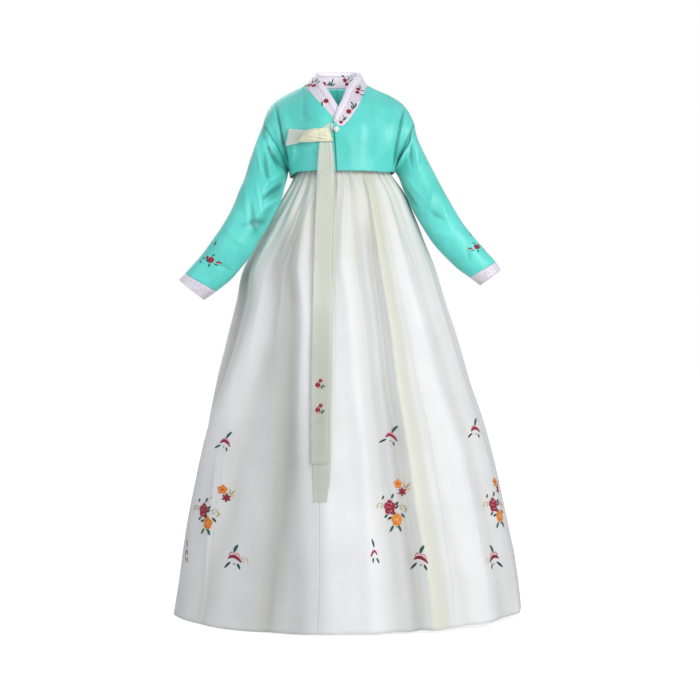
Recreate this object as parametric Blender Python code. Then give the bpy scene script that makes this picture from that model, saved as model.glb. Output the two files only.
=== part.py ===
"""Korean hanbok: a short jacket (jeogori) over a full-length skirt (chima), filled out as worn.

Metres, +Z up, +X towards the wearer's left arm, the front faces -Y. The origin lies between
the shoulders at the base of the neck, where the wearer carries the jacket.
"""
import math

import bpy
import numpy as np
from mathutils import Vector
from mathutils.bvhtree import BVHTree

for old in list(bpy.data.objects):
    bpy.data.objects.remove(old, do_unlink=True)


def table(columns, *rows):
    """A small table: each named column becomes an array."""
    return {name: np.array(values, dtype=float) for name, values in zip(columns.split(), zip(*rows))}


# Cloth thicknesses and the gap that sewn pieces keep
SATIN = 0.0015
COLLAR_CLOTH = 0.0014
EDGE_CLOTH = 0.0010
RIBBON = 0.0010
ORGANZA = 0.0012
LINING = 0.0010
BAND = 0.0030
GAP = 0.0003
# Cosine of the largest turn at which two sewn sheets still count as running on into each other
SAME_SHEET = 0.2

# Torso that the jacket is cut for: half section is a superellipse at each height
SECTION_POWER = 2.4
TORSO = table(
    "height front back centre",
    (0.046, 0.036, 0.052, 0.0000),
    (0.006, 0.048, 0.064, -0.0045),
    (-0.030, 0.082, 0.084, -0.0025),
    (-0.060, 0.099, 0.094, 0.0000),
    (-0.100, 0.112, 0.101, 0.0025),
    (-0.140, 0.120, 0.103, 0.0055),
    (-0.180, 0.122, 0.105, 0.0085),
    (-0.240, 0.118, 0.113, 0.0115),
)
SHOULDER_LINE = table(
    "height half_width",
    (0.0120, 0.0600),
    (0.0045, 0.0805),
    (-0.0060, 0.1050),
    (-0.0160, 0.1280),
    (-0.0270, 0.1480),
    (-0.0400, 0.1660),
    (-0.0560, 0.1790),
    (-0.0740, 0.1880),
    (-0.0950, 0.1955),
)
ARMHOLE_TOP = (0.1955, -0.0950)
ARMHOLE_FOOT = (0.1370, -0.2130)
ARMHOLE_HALF_DEPTH = 0.057
ARMHOLE_POINT = 1.5
HEM_HALF_WIDTH = 0.1345
FRONT_HEM = -0.2255
SIDE_HEM = {1: -0.2190, -1: -0.2330}
BACK_HEM = -0.2250
FREE_EDGE_X = -0.0120
INNER_EDGE_X = -0.0350
LAP = 0.0048
LAP_SPAN = (-0.055, -0.016)
# The fronts follow the torso form exactly where they overlap, and ease off it beyond
CHEST_BLEND = (0.036, 0.100)
CHEST_BLEND_HEIGHTS = (-0.105, -0.060)
NECK_COLUMNS = 9
BACK_NECK_COLUMNS = 6
SHOULDER_COLUMNS = 6
ARMHOLE_STEPS = 9
COLLAR_ROWS = 4
BODY_SMOOTHING = 10

# Neckline and collar stations, from the front end up to the shoulder, seen on the wearer's own side
OUTER_COLLAR = table(
    "low_x low_z top_x top_y top_z",
    (-0.0125, -0.0995, -0.0135, -0.1110, -0.0965),
    (0.0035, -0.1126, -0.0070, -0.1060, -0.0830),
    (0.0200, -0.1041, 0.0000, -0.1010, -0.0659),
    (0.0478, -0.0678, 0.0125, -0.0900, -0.0440),
    (0.0655, -0.0330, 0.0290, -0.0650, -0.0085),
    (0.0770, -0.0060, 0.0475, -0.0340, 0.0200),
    (0.0800, 0.0005, 0.0545, -0.0175, 0.0300),
    (0.0805, 0.0045, 0.0567, 0.0000, 0.0370),
)
INNER_COLLAR = table(
    "low_x low_z top_x top_y top_z",
    (-0.0150, -0.1200, -0.0330, -0.1140, -0.1080),
    (-0.0020, -0.1060, -0.0200, -0.1090, -0.0930),
    (0.0144, -0.0888, -0.0060, -0.1030, -0.0750),
    (0.0379, -0.0592, 0.0085, -0.0900, -0.0440),
    (0.0620, -0.0290, 0.0270, -0.0650, -0.0085),
    (0.0755, -0.0070, 0.0460, -0.0340, 0.0190),
    (0.0795, 0.0002, 0.0540, -0.0175, 0.0295),
    (0.0805, 0.0045, 0.0567, 0.0000, 0.0360),
)
BACK_COLLAR = table(
    "low_x low_z top_x top_y top_z",
    (0.0805, 0.0045, 0.0567, 0.0000, 0.0365),
    (0.0765, 0.0052, 0.0555, 0.0140, 0.0395),
    (0.0640, 0.0060, 0.0490, 0.0290, 0.0425),
    (0.0340, 0.0065, 0.0310, 0.0450, 0.0455),
    (0.0000, 0.0065, 0.0000, 0.0510, 0.0460),
)
EDGE_BAND_OUTSIDE = 0.0150
EDGE_BAND_INSIDE = 0.0100
EDGE_BAND_GAP = 0.0005

# Sleeves: outer and inner edges seen from the front, how far forward they come, half depth
SLEEVE_LEFT = table(
    "outer_x outer_z inner_x inner_z forward half_depth",
    (0.2030, -0.1240, 0.1515, -0.2210, 0.006, 0.0570),
    (0.2210, -0.1690, 0.1590, -0.2360, 0.018, 0.0540),
    (0.2415, -0.2140, 0.1720, -0.2720, 0.032, 0.0500),
    (0.2780, -0.2830, 0.2010, -0.3340, 0.046, 0.0470),
    (0.3190, -0.3540, 0.2440, -0.4050, 0.054, 0.0450),
    (0.3730, -0.4210, 0.3010, -0.4650, 0.058, 0.0400),
    (0.4045, -0.4560, 0.3390, -0.4940, 0.060, 0.0350),
    (0.4175, -0.4755, 0.3655, -0.5140, 0.060, 0.0310),
)
SLEEVE_RIGHT = table(
    "outer_x outer_z inner_x inner_z forward half_depth",
    (0.2040, -0.1250, 0.1305, -0.2210, 0.010, 0.0570),
    (0.2190, -0.1740, 0.1345, -0.2440, 0.036, 0.0530),
    (0.2430, -0.2560, 0.1500, -0.3090, 0.080, 0.0480),
    (0.2710, -0.3270, 0.1820, -0.3710, 0.100, 0.0460),
    (0.3030, -0.3820, 0.2170, -0.4330, 0.104, 0.0450),
    (0.3410, -0.4340, 0.2600, -0.4870, 0.100, 0.0430),
    (0.3880, -0.4870, 0.3100, -0.5310, 0.100, 0.0380),
    (0.4030, -0.5020, 0.3400, -0.5520, 0.100, 0.0340),
)
SLEEVE_ROUND_FROM = 3.0
CUFF_ROWS = 3
SLEEVE_ROWS = 15

# Skirt outline seen from the front, its folds and the pleats at the band
SKIRT_TOP = -0.2070
SKIRT_HEM = -1.3520
HEM_TILT = 0.017
HEM_FRONT_DIP = 0.006
SKIRT_DEPTH_RATIO = 0.85
SKIRT_SET_BACK = 0.000
SKIRT_OUTLINE = table(
    "height half_width centre",
    (-0.2000, 0.1165, 0.0105),
    (-0.2255, 0.1235, 0.0120),
    (-0.2400, 0.1320, 0.0135),
    (-0.2680, 0.1500, 0.0155),
    (-0.3350, 0.1850, 0.0120),
    (-0.4145, 0.2220, 0.0070),
    (-0.4756, 0.2500, 0.0035),
    (-0.5510, 0.2690, 0.0080),
    (-0.6420, 0.2955, 0.0110),
    (-0.7800, 0.3345, 0.0135),
    (-0.8604, 0.3575, 0.0190),
    (-1.0060, 0.3895, 0.0250),
    (-1.1620, 0.4180, 0.0295),
    (-1.2530, 0.4325, 0.0320),
    (-1.3600, 0.4470, 0.0300),
)
FOLD_HEIGHTS = (-0.25, -0.55, -0.94, -1.34)
# Angles in degrees from the front centre, widths in degrees, heights in millimetres
FOLDS = table(
    "top upper lower hem before after high_top high_mid high_hem lean",
    (-84.0, -70.0, -86.0, -100.0, 9.0, 8.0, -6.0, -12.0, -4.0, 0.0),
    (-72.0, -50.0, -69.0, -84.0, 8.0, 9.0, 0.0, 13.0, 9.0, 0.0),
    (-56.0, -39.0, -45.0, -58.0, 7.0, 7.0, -4.0, -4.0, -7.0, 0.0),
    (-41.0, -27.5, -22.7, -26.3, 5.0, 3.5, -5.0, -10.0, -9.0, 0.0),
    (-33.0, -20.5, -17.2, -14.0, 3.0, 3.0, 4.0, 5.0, 4.0, 0.0),
    (-25.0, -14.1, -12.0, -10.0, 2.8, 2.8, -5.0, -4.0, -1.0, 0.0),
    (-17.5, -8.8, -8.9, -7.0, 2.8, 2.8, 4.0, 4.0, 1.0, 0.0),
    (-10.4, -4.1, -4.0, -3.0, 2.8, 3.0, -4.0, -3.0, -2.0, 0.0),
    (-2.4, 3.6, 5.8, 7.0, 3.2, 3.4, 5.0, 6.0, 7.0, 0.0),
    (5.5, 10.9, 11.7, 14.0, 3.0, 3.0, -5.0, -7.0, -6.0, 0.0),
    (13.0, 15.8, 16.0, 18.0, 2.6, 2.6, 3.0, 3.0, 2.0, 0.0),
    (20.6, 20.4, 20.4, 23.4, 2.6, 2.0, -6.0, -11.0, -12.0, 0.0),
    (25.4, 25.4, 24.6, 27.6, 2.2, 5.0, 6.0, 13.0, 13.0, 6.0),
    (33.0, 34.5, 35.0, 41.0, 3.5, 3.5, -4.0, -6.0, -6.0, 0.0),
    (39.8, 42.4, 47.7, 50.0, 4.0, 4.5, 4.0, 7.0, 8.0, 0.0),
    (50.0, 54.0, 58.0, 61.0, 4.5, 4.5, -4.0, -6.0, -6.0, 0.0),
    (62.0, 66.0, 69.0, 72.0, 4.5, 5.0, 4.0, 5.0, 6.0, 0.0),
)
HIDDEN_FOLDS_FROM = 82.0
HIDDEN_FOLDS_TO = 246.0
HIDDEN_FOLD_COUNT = 16
FOLD_SEED = 7
PLEATS = 36
PLEAT_HEIGHT = 0.0023
PLEAT_FADE = 0.24
PANEL_SEAMS = (-145.0, -100.0, -55.0, -10.0, 35.0, 80.0, 125.0, 170.0, 215.0)
PANEL_COLUMNS = 18
SKIRT_ROWS = (0.0, 0.03, 0.075, 0.135, 0.21, 0.31, 0.43, 0.57, 0.72, 0.86, 1.0)
BAND_TOP = -0.1450
BAND_BOTTOM = -0.2062
LINING_CLEARANCE_TOP = 0.0047
LINING_CLEARANCE = 0.0180
LINING_FLARE = 0.070
LINING_HEM_RISE = 0.020
LINING_COLUMNS = 40

# Goreum: the half bow and its two tails, seen from the front
BOW_MIDDLE = -0.1368
WRAP = table(
    "x half_height half_depth",
    (-0.0920, 0.0155, 0.0052),
    (-0.0780, 0.0175, 0.0062),
    (-0.0620, 0.0181, 0.0065),
    (-0.0485, 0.0174, 0.0061),
)
KNOT = table(
    "x half_height half_depth",
    (-0.0480, 0.0177, 0.0064),
    (-0.0385, 0.0188, 0.0076),
    (-0.0275, 0.0188, 0.0076),
    (-0.0170, 0.0172, 0.0062),
)
LOOP_GAP = 0.0013
SEAT_REACH = 0.004
LOOP_END = -0.1302
LOOP_END_HALF = 0.0215
LOOP_START_HALF = 0.0140
LOOP_STEPS = 7
LOOP_COLUMNS = 4
LOOP_DEPTH = 0.0042
LOOP_PUFF = 0.0030
LOOP_SLANT = 0.0040
LOOP_DROP = 0.0005
STRAP_START = ((-0.0165, -0.1030), (-0.0085, -0.1085))
STRAP_END = ((-0.0438, -0.1190), (-0.0180, -0.1390))
STRAP_ROWS = 5
STRAP_COLUMNS = 4
ROSETTE_CENTRE = (-0.0035, -0.1210)
ROSETTE_RADIUS = 0.0060
ROSETTE_LOBES = 4
ROSETTE_LOBE_HEIGHT = 0.22
ROSETTE_THICKNESS = 0.0030
ROSETTE_LEVELS = table(
    "width level",
    (0.72, 0.00),
    (1.00, 0.35),
    (0.86, 0.80),
    (0.42, 1.00),
)
TUBE_TURNS = 16
TAIL_SAMPLES = 8
TAIL_CLEARANCE = 0.0006
FRONT_TAIL = table(
    "x z width",
    (-0.0310, -0.1560, 0.0300),
    (-0.0315, -0.2300, 0.0400),
    (-0.0360, -0.4500, 0.0430),
    (-0.0400, -0.7000, 0.0440),
    (-0.0440, -0.9550, 0.0370),
)
BACK_TAIL = table(
    "x z width",
    (-0.0280, -0.1560, 0.0290),
    (-0.0265, -0.2300, 0.0400),
    (-0.0280, -0.4500, 0.0450),
    (-0.0330, -0.7000, 0.0450),
    (-0.0360, -0.9500, 0.0440),
    (-0.0400, -1.0460, 0.0300),
)


def smooth(start, end, value):
    """Smooth step from 0 at start to 1 at end."""
    t = np.clip((np.asarray(value, dtype=float) - start) / (end - start), 0.0, 1.0)
    return t * t * (3.0 - 2.0 * t)


def follow(xs, ys, x):
    """Smooth curve y(x) through the points of two table columns."""
    order = np.argsort(xs)
    xs, ys = np.asarray(xs)[order], np.asarray(ys)[order]
    slopes = np.gradient(ys, xs)
    x = np.clip(np.asarray(x, dtype=float), xs[0], xs[-1])
    cell = np.clip(np.searchsorted(xs, x, side="right") - 1, 0, len(xs) - 2)
    width = xs[cell + 1] - xs[cell]
    t = (x - xs[cell]) / width
    start = (1 + 2 * t) * (1 - t) ** 2 * ys[cell] + t * (1 - t) ** 2 * width * slopes[cell]
    end = t * t * (3 - 2 * t) * ys[cell + 1] - t * t * (1 - t) * width * slopes[cell + 1]
    return start + end


def along(values, count):
    """Values of a table column, read smoothly at count + 1 even steps from its first row to its last."""
    return follow(np.arange(len(values)), values, np.linspace(0, len(values) - 1, count + 1))


# Torso form
def armhole_share(turn):
    """How far down the armhole a turn from its top leads; round at the top, pointed at the foot."""
    t = np.abs(turn) / math.pi
    return (3.0 - ARMHOLE_POINT) * t ** 2 - (2.0 - ARMHOLE_POINT) * t ** 3


def half_width(z):
    """Half width of the torso section, worked out so that it passes through the armhole."""
    z = np.asarray(z, dtype=float)
    top_x, top_z = ARMHOLE_TOP
    foot_x, foot_z = ARMHOLE_FOOT
    shoulder = follow(SHOULDER_LINE["height"], SHOULDER_LINE["half_width"], z)
    share = np.clip((top_z - z) / (top_z - foot_z), 0.0, 1.0)
    turns = np.linspace(0.0, math.pi, 60)
    edge_x = top_x + (foot_x - top_x) * share
    edge_y = ARMHOLE_HALF_DEPTH * np.sin(np.interp(share, armhole_share(turns), turns))
    front = follow(TORSO["height"], TORSO["front"], z)
    ring = edge_x / (1.0 - (edge_y / front) ** SECTION_POWER) ** (1.0 / SECTION_POWER)
    waist = foot_x + (HEM_HALF_WIDTH - foot_x) * (foot_z - z) / (foot_z - FRONT_HEM)
    waist = np.maximum(waist, HEM_HALF_WIDTH)
    return np.where(z > top_z, shoulder, np.where(z < foot_z, waist, ring))


def section_angle(x, z):
    """Angle on the torso section of the point at x from its centre."""
    q = np.clip(np.abs(x) / half_width(z), 0.0, 1.0)
    return np.sign(x) * np.arcsin(q ** (SECTION_POWER / 2.0))


def torso_point(angle, z, side, facing):
    """Point of the torso; side is +1 for the wearer's left half, facing is -1 for the front."""
    depth = follow(TORSO["height"], TORSO["front" if facing < 0 else "back"], z)
    x = np.sign(angle) * half_width(z) * np.abs(np.sin(angle)) ** (2.0 / SECTION_POWER)
    y = facing * depth * np.abs(np.cos(angle)) ** (2.0 / SECTION_POWER)
    centre = follow(TORSO["height"], TORSO["centre"], z)
    return np.stack([centre + side * x, y, z], axis=-1)


def torso_depth(x, z):
    """Depth of the torso's front at x from its centre."""
    share = np.clip(np.abs(x) / half_width(z), 0.0, 1.0)
    front = follow(TORSO["height"], TORSO["front"], z)
    return -front * (1.0 - share ** SECTION_POWER) ** (1.0 / SECTION_POWER)


def blend_patch(bottom, top, left, right):
    """Coons patch between four border curves."""
    u = np.linspace(0, 1, len(bottom))[None, :, None]
    v = np.linspace(0, 1, len(left))[:, None, None]
    ruled = (1 - v) * bottom[None] + v * top[None] + (1 - u) * left[:, None] + u * right[:, None]
    corners = (1 - v) * ((1 - u) * bottom[0] + u * bottom[-1]) + v * ((1 - u) * top[0] + u * top[-1])
    return ruled - corners


def armhole_end(end, side):
    """One end of the armhole as a point in the middle of its depth."""
    x, z = end
    return np.array([float(follow(TORSO["height"], TORSO["centre"], z)) + side * x, 0.0, z])


def armhole_point(turn, side):
    """Point on the armhole: turn is 0 at its top, positive towards the front."""
    turn = np.asarray(turn, dtype=float)[..., None]
    top, foot = armhole_end(ARMHOLE_TOP, side), armhole_end(ARMHOLE_FOOT, side)
    forward = np.array([0.0, -ARMHOLE_HALF_DEPTH, 0.0])
    return top + (foot - top) * armhole_share(turn) + forward * np.sin(turn)


def shoulder_heights():
    """Heights of the shoulder seam points, from the neck to the armhole."""
    return along(SHOULDER_LINE["height"][1:], SHOULDER_COLUMNS)


def jacket_panel(side, facing, collar, neck_columns, edge_x, hem):
    """Mid surface of one body panel: rows go up, columns go from the centre out to the side."""
    flank = math.pi / 2
    neck_z = along(collar["low_z"], neck_columns)
    neck_angles = section_angle(along(collar["low_x"], neck_columns), neck_z)
    neck = torso_point(neck_angles, neck_z, side, facing)
    shoulder_z = shoulder_heights()
    shoulder = torso_point(np.full(len(shoulder_z), flank), shoulder_z, side, facing)
    shoulder[:, 1] = 0.0
    top = np.concatenate([neck[:-1], shoulder])

    turn = np.linspace(math.pi, 0.0, ARMHOLE_STEPS + 1)
    ring = armhole_point(-facing * turn, side)
    ring[[0, -1], 1] = 0.0
    top[-1] = ring[-1]
    start = float(section_angle(np.array(edge_x), np.array(hem)))
    hem_angles = np.linspace(start, flank, len(top))
    hem_z = hem + (SIDE_HEM[side] - hem) * smooth(0.55, 1.0, hem_angles / flank)
    bottom = torso_point(hem_angles, hem_z, side, facing)
    bottom[-1, 1] = 0.0
    right = np.concatenate([bottom[-1:], ring])

    left_z = np.linspace(hem, neck_z[0], len(right))
    left_x = np.linspace(edge_x, collar["low_x"][0], len(right))
    left = torso_point(section_angle(left_x, left_z), left_z, side, facing)

    points = blend_patch(bottom, top, left, right)
    share = np.zeros(points.shape[:2])
    if facing < 0:
        z = points[..., 2]
        x = (points[..., 0] - follow(TORSO["height"], TORSO["centre"], z)) * side
        share = (1.0 - smooth(*CHEST_BLEND, x)) * (1.0 - smooth(*CHEST_BLEND_HEIGHTS, z))
        points[..., 1] += share * (torso_depth(x, z) - points[..., 1])
    ease_depth(points, 1.0 - share)
    return points


def ease_depth(points, share):
    """Evens out a panel's depth inside its borders, so that no corner of them shows as a ridge."""
    depth = points[..., 1]
    for _ in range(BODY_SMOOTHING):
        around = (depth[:-2, 1:-1] + depth[2:, 1:-1] + depth[1:-1, :-2] + depth[1:-1, 2:]) / 4
        depth[1:-1, 1:-1] += share[1:-1, 1:-1] * (around - depth[1:-1, 1:-1]) / 2


def lap_in(points):
    """Moves the inner front back under the outer one, where they overlap."""
    x = points[..., 0] - follow(TORSO["height"], TORSO["centre"], points[..., 2])
    points[..., 1] += LAP * smooth(*LAP_SPAN, x)
    return points


# Sleeves and cuffs
def sleeve_surface(side, stations, rows, first, last):
    """Rings of a sleeve between two of its stations; station 0 is the armhole."""
    ring_top = armhole_end(ARMHOLE_TOP, side)
    ring_foot = armhole_end(ARMHOLE_FOOT, side)
    turn = math.pi - np.arange(2 * ARMHOLE_STEPS) * math.pi / ARMHOLE_STEPS
    at = np.linspace(first, last, rows + 1)
    number = np.arange(len(stations["outer_x"]) + 1)

    def read(column, start, sign=1.0):
        return follow(number, np.concatenate([[start], sign * stations[column]]), at)[:, None]

    outer_x = read("outer_x", ring_top[0], side)
    outer_z = read("outer_z", ring_top[2])
    inner_x = read("inner_x", ring_foot[0], side)
    inner_z = read("inner_z", ring_foot[2])
    forward = read("forward", 0.0)
    depth = read("half_depth", ARMHOLE_HALF_DEPTH)
    share = (1.0 - np.cos(turn)) / 2
    share = share + (armhole_share(turn) - share) * (1.0 - smooth(0.0, SLEEVE_ROUND_FROM, at))[:, None]
    x = outer_x + (inner_x - outer_x) * share
    z = outer_z + (inner_z - outer_z) * share
    y = -forward - depth * np.sin(turn)
    return np.stack([x, y, z], axis=-1)


# Skirt
def hidden_folds():
    """Folds of the sides and back, alternating ridges and valleys at uneven steps."""
    chance = np.random.default_rng(FOLD_SEED)
    steps = 1.0 + 0.35 * chance.uniform(-1.0, 1.0, HIDDEN_FOLD_COUNT)
    places = HIDDEN_FOLDS_FROM + (HIDDEN_FOLDS_TO - HIDDEN_FOLDS_FROM) * np.cumsum(steps) / steps.sum()
    rows = []
    for number, place in enumerate(places):
        sign = 1.0 if number % 2 else -1.0
        drift = chance.uniform(-4.0, 4.0)
        width = chance.uniform(3.2, 5.2)
        height = chance.uniform(6.0, 12.0)
        rows.append((place, place + drift, place + 1.2 * drift, place + 0.8 * drift, width, width + 1.0,
                     sign * 4.0, sign * height, sign * height, 0.0))
    return table(" ".join(FOLDS), *rows)


ALL_FOLDS = {name: np.concatenate([FOLDS[name], values]) for name, values in hidden_folds().items()}


def fold_relief(angle, z):
    """Outward and sideways shift of the skirt's cloth by its folds and band pleats."""
    outward = np.zeros(np.broadcast(angle, z).shape)
    sideways = np.zeros_like(outward)
    heights = np.array(FOLD_HEIGHTS)
    for i in range(len(ALL_FOLDS["top"])):
        places = np.array([ALL_FOLDS[name][i] for name in ("top", "upper", "lower", "hem")])
        tops = np.array([ALL_FOLDS[name][i] for name in ("high_top", "high_mid", "high_hem")])
        centre = follow(heights, places, z)
        height = follow(heights[[0, 1, 3]], tops, z) * 0.001
        off = (angle - centre + 180.0) % 360.0 - 180.0
        width = np.where(off < 0.0, ALL_FOLDS["before"][i], ALL_FOLDS["after"][i])
        bump = np.exp(-((off / width) ** 2))
        outward += height * bump
        sideways -= ALL_FOLDS["lean"][i] * 0.001 * bump
    ease = smooth(SKIRT_TOP, SKIRT_TOP - 0.06, z)
    turn = np.radians(angle)
    phase = PLEATS * turn + 0.9 * np.sin(3 * turn + 0.6) + 0.5 * np.sin(7 * turn)
    pleat = np.sin(phase + 0.5 * np.sin(phase)) * PLEAT_HEIGHT
    outward = outward * ease + pleat * (1.0 - smooth(SKIRT_TOP, SKIRT_TOP - PLEAT_FADE, z))
    return outward, sideways * ease


def skirt_point(angle, z, inset=0.0, folded=True):
    """Point of the skirt's surface; the angle is 0 at the front centre and grows towards +X."""
    turn = np.radians(angle)
    wide = follow(SKIRT_OUTLINE["height"], SKIRT_OUTLINE["half_width"], z)
    centre = follow(SKIRT_OUTLINE["height"], SKIRT_OUTLINE["centre"], z)
    deep = SKIRT_DEPTH_RATIO * wide
    normal = np.stack([np.sin(turn) / wide, -np.cos(turn) / deep], axis=-1)
    normal /= np.linalg.norm(normal, axis=-1, keepdims=True)
    outward, sideways = fold_relief(angle, z) if folded else (0.0, 0.0)
    outward = outward - inset
    x = centre + wide * np.sin(turn) + normal[..., 0] * outward - normal[..., 1] * sideways
    y = SKIRT_SET_BACK - deep * np.cos(turn) + normal[..., 1] * outward + normal[..., 0] * sideways
    return np.stack([x, y, z * np.ones_like(x)], axis=-1)


def hem_height(angle):
    """Height of the skirt's hem round the skirt."""
    turn = np.radians(angle)
    wide = SKIRT_OUTLINE["half_width"][-1]
    return SKIRT_HEM + HEM_TILT * wide * np.sin(turn) - HEM_FRONT_DIP * np.cos(turn)


def skirt_surface(angles, shares, inset=0.0, folded=True, hem_rise=0.0, top=SKIRT_TOP):
    """Rows go down from the band to the hem, columns go round."""
    angle = np.asarray(angles, dtype=float)[None, :]
    share = np.asarray(shares)[:, None]
    z = top + (hem_height(angle) + hem_rise - top) * share
    angle = np.broadcast_to(angle, z.shape)
    return skirt_point(angle, z, inset(z) if callable(inset) else inset, folded)


# Walls
def grid_normals(points, closed):
    """Unit normals of a grid of points, rows by columns."""
    down = np.gradient(points, axis=0)
    if closed:
        across = (np.roll(points, -1, axis=1) - np.roll(points, 1, axis=1)) / 2
    else:
        across = np.gradient(points, axis=1)
    normals = np.cross(across, down)
    return normals / np.linalg.norm(normals, axis=-1, keepdims=True)


class Piece:
    """A piece of cloth: its mid surface, which borders are sewn, and its wall thickness."""

    def __init__(self, name, points, thickness, colour, closed=False, sewn="", flip=False, roughness=0.5):
        self.name = name
        self.points = points
        self.thickness = thickness
        self.colour = colour
        self.closed = closed
        self.sewn = sewn.split()
        self.roughness = roughness
        self.normals = grid_normals(points, closed) * (-1.0 if flip else 1.0)

    def border(self, side):
        return {"first": np.s_[0, :], "last": np.s_[-1, :], "left": np.s_[:, 0], "right": np.s_[:, -1]}[side]

    def next_in(self, side):
        return {"first": np.s_[1, :], "last": np.s_[-2, :], "left": np.s_[:, 1], "right": np.s_[:, -2]}[side]

    def border_run(self, side):
        """Unit directions along a border."""
        line = self.points[self.border(side)]
        if self.closed:
            run = np.roll(line, -1, axis=0) - np.roll(line, 1, axis=0)
        else:
            run = np.gradient(line, axis=0)
        return run / np.linalg.norm(run, axis=-1, keepdims=True)


def join_seams(pieces):
    """Sets how sewn borders meet.

    Sheets that run on into each other share one wall direction and stop half the gap short of
    the seam. Sheets that fold back on each other keep their own and lie side by side.
    """
    meetings = {}
    for piece in pieces:
        piece.moves = np.zeros_like(piece.points)
        for side in piece.sewn:
            edge = piece.border(side)
            into = piece.points[piece.next_in(side)] - piece.points[edge]
            run = piece.border_run(side)
            into -= run * np.sum(into * run, axis=-1, keepdims=True)
            into /= np.linalg.norm(into, axis=-1, keepdims=True)
            for i, point in enumerate(piece.points[edge]):
                member = (piece, side, i, piece.normals[edge][i].copy(), into[i])
                meetings.setdefault(tuple(np.floor(point * 1e5 + 0.317)), []).append(member)
    for members in meetings.values():
        for piece, side, i, normal, into in members:
            others = [(n, d) for other, _, _, n, d in members if other is not piece]
            near = [n for n, _ in others if n @ normal > SAME_SHEET]
            far = [(n, d) for n, d in others if n @ normal <= SAME_SHEET]
            total = np.sum([normal] + near, axis=0)
            piece.normals[piece.border(side)][i] = total / np.linalg.norm(total)
            move = into * GAP / 2
            if far:
                facing, beyond = min(far, key=lambda pair: pair[0] @ normal)
                reach = (piece.thickness + GAP) / 2
                apart = reach * max(0.0, -(facing @ normal)) * np.sign(beyond @ normal)
                move = into * reach - normal * apart
            piece.moves[piece.border(side)][i] += move
    for piece in pieces:
        piece.points = piece.points + piece.moves


def wall_mesh(piece):
    """Closed wall about the mid surface: both faces, cut along the same diagonals, and the rims."""
    rows, columns = piece.points.shape[:2]
    shift = piece.normals * piece.thickness / 2
    faces_out = (piece.points + shift).reshape(-1, 3)
    faces_in = (piece.points - shift).reshape(-1, 3)
    count = rows * columns
    wrap = columns if piece.closed else columns - 1
    corner = lambda r, c: r * columns + c % columns
    triangles = []
    for r in range(rows - 1):
        for c in range(wrap):
            a, b, d, e = corner(r, c), corner(r, c + 1), corner(r + 1, c + 1), corner(r + 1, c)
            flat = piece.points.reshape(-1, 3)
            if np.linalg.norm(flat[a] - flat[d]) <= np.linalg.norm(flat[b] - flat[e]):
                halves = ((a, b, d), (a, d, e))
            else:
                halves = ((a, b, e), (b, d, e))
            for i, j, k in halves:
                triangles.append((i, j, k))
                triangles.append((count + i, count + k, count + j))
    rim = [(corner(0, c), corner(0, c + 1)) for c in range(wrap)]
    rim += [(corner(rows - 1, c + 1), corner(rows - 1, c)) for c in range(wrap)]
    if not piece.closed:
        rim += [(corner(r + 1, 0), corner(r, 0)) for r in range(rows - 1)]
        rim += [(corner(r, columns - 1), corner(r + 1, columns - 1)) for r in range(rows - 1)]
    for i, j in rim:
        triangles.append((j, i, count + i))
        triangles.append((j, count + i, count + j))
    vertices = np.concatenate([faces_out, faces_in])
    corners = vertices[np.array(triangles)]
    volume = np.einsum("ij,ij->i", corners[:, 0], np.cross(corners[:, 1], corners[:, 2])).sum() / 6
    if volume < 0:
        triangles = [(i, k, j) for i, j, k in triangles]
    return vertices, triangles


def plain_material(name, colour, roughness):
    material = bpy.data.materials.new(name)
    material.use_nodes = True
    shader = material.node_tree.nodes["Principled BSDF"]
    shader.inputs["Base Color"].default_value = (*colour, 1.0)
    shader.inputs["Roughness"].default_value = roughness
    shader.inputs["Metallic"].default_value = 0.0
    return material


def add_object(name, vertices, triangles, colour, roughness):
    mesh = bpy.data.meshes.new(name)
    mesh.from_pydata([tuple(v) for v in vertices], [], triangles)
    mesh.update()
    mesh.shade_smooth()
    mesh.materials.append(plain_material(name + "_cloth", colour, roughness))
    piece = bpy.data.objects.new(name, mesh)
    bpy.context.scene.collection.objects.link(piece)
    return piece


def add_wall(piece):
    vertices, triangles = wall_mesh(piece)
    add_object(piece.name, vertices, triangles, piece.colour, piece.roughness)
    return vertices, triangles


# Resting one piece on others, seen from the front
class Ground:
    """Finished walls that ribbons lie on."""

    def __init__(self):
        self.vertices = []
        self.triangles = []

    def add(self, built):
        vertices, triangles = built
        start = len(self.vertices)
        self.vertices += [tuple(v) for v in vertices]
        self.triangles += [tuple(start + i for i in t) for t in triangles]
        self.tree = BVHTree.FromPolygons(self.vertices, self.triangles)

    def front(self, x, z):
        """Depth of the foremost wall at x and z, or None past its edge."""
        hit = self.tree.ray_cast(Vector((x, -2.0, z)), Vector((0.0, 1.0, 0.0)))
        return hit[0].y if hit[0] else None

    def foremost(self, xs, zs):
        depths = [self.front(x, z) for x in xs for z in zs]
        return min(d for d in depths if d is not None)


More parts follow.
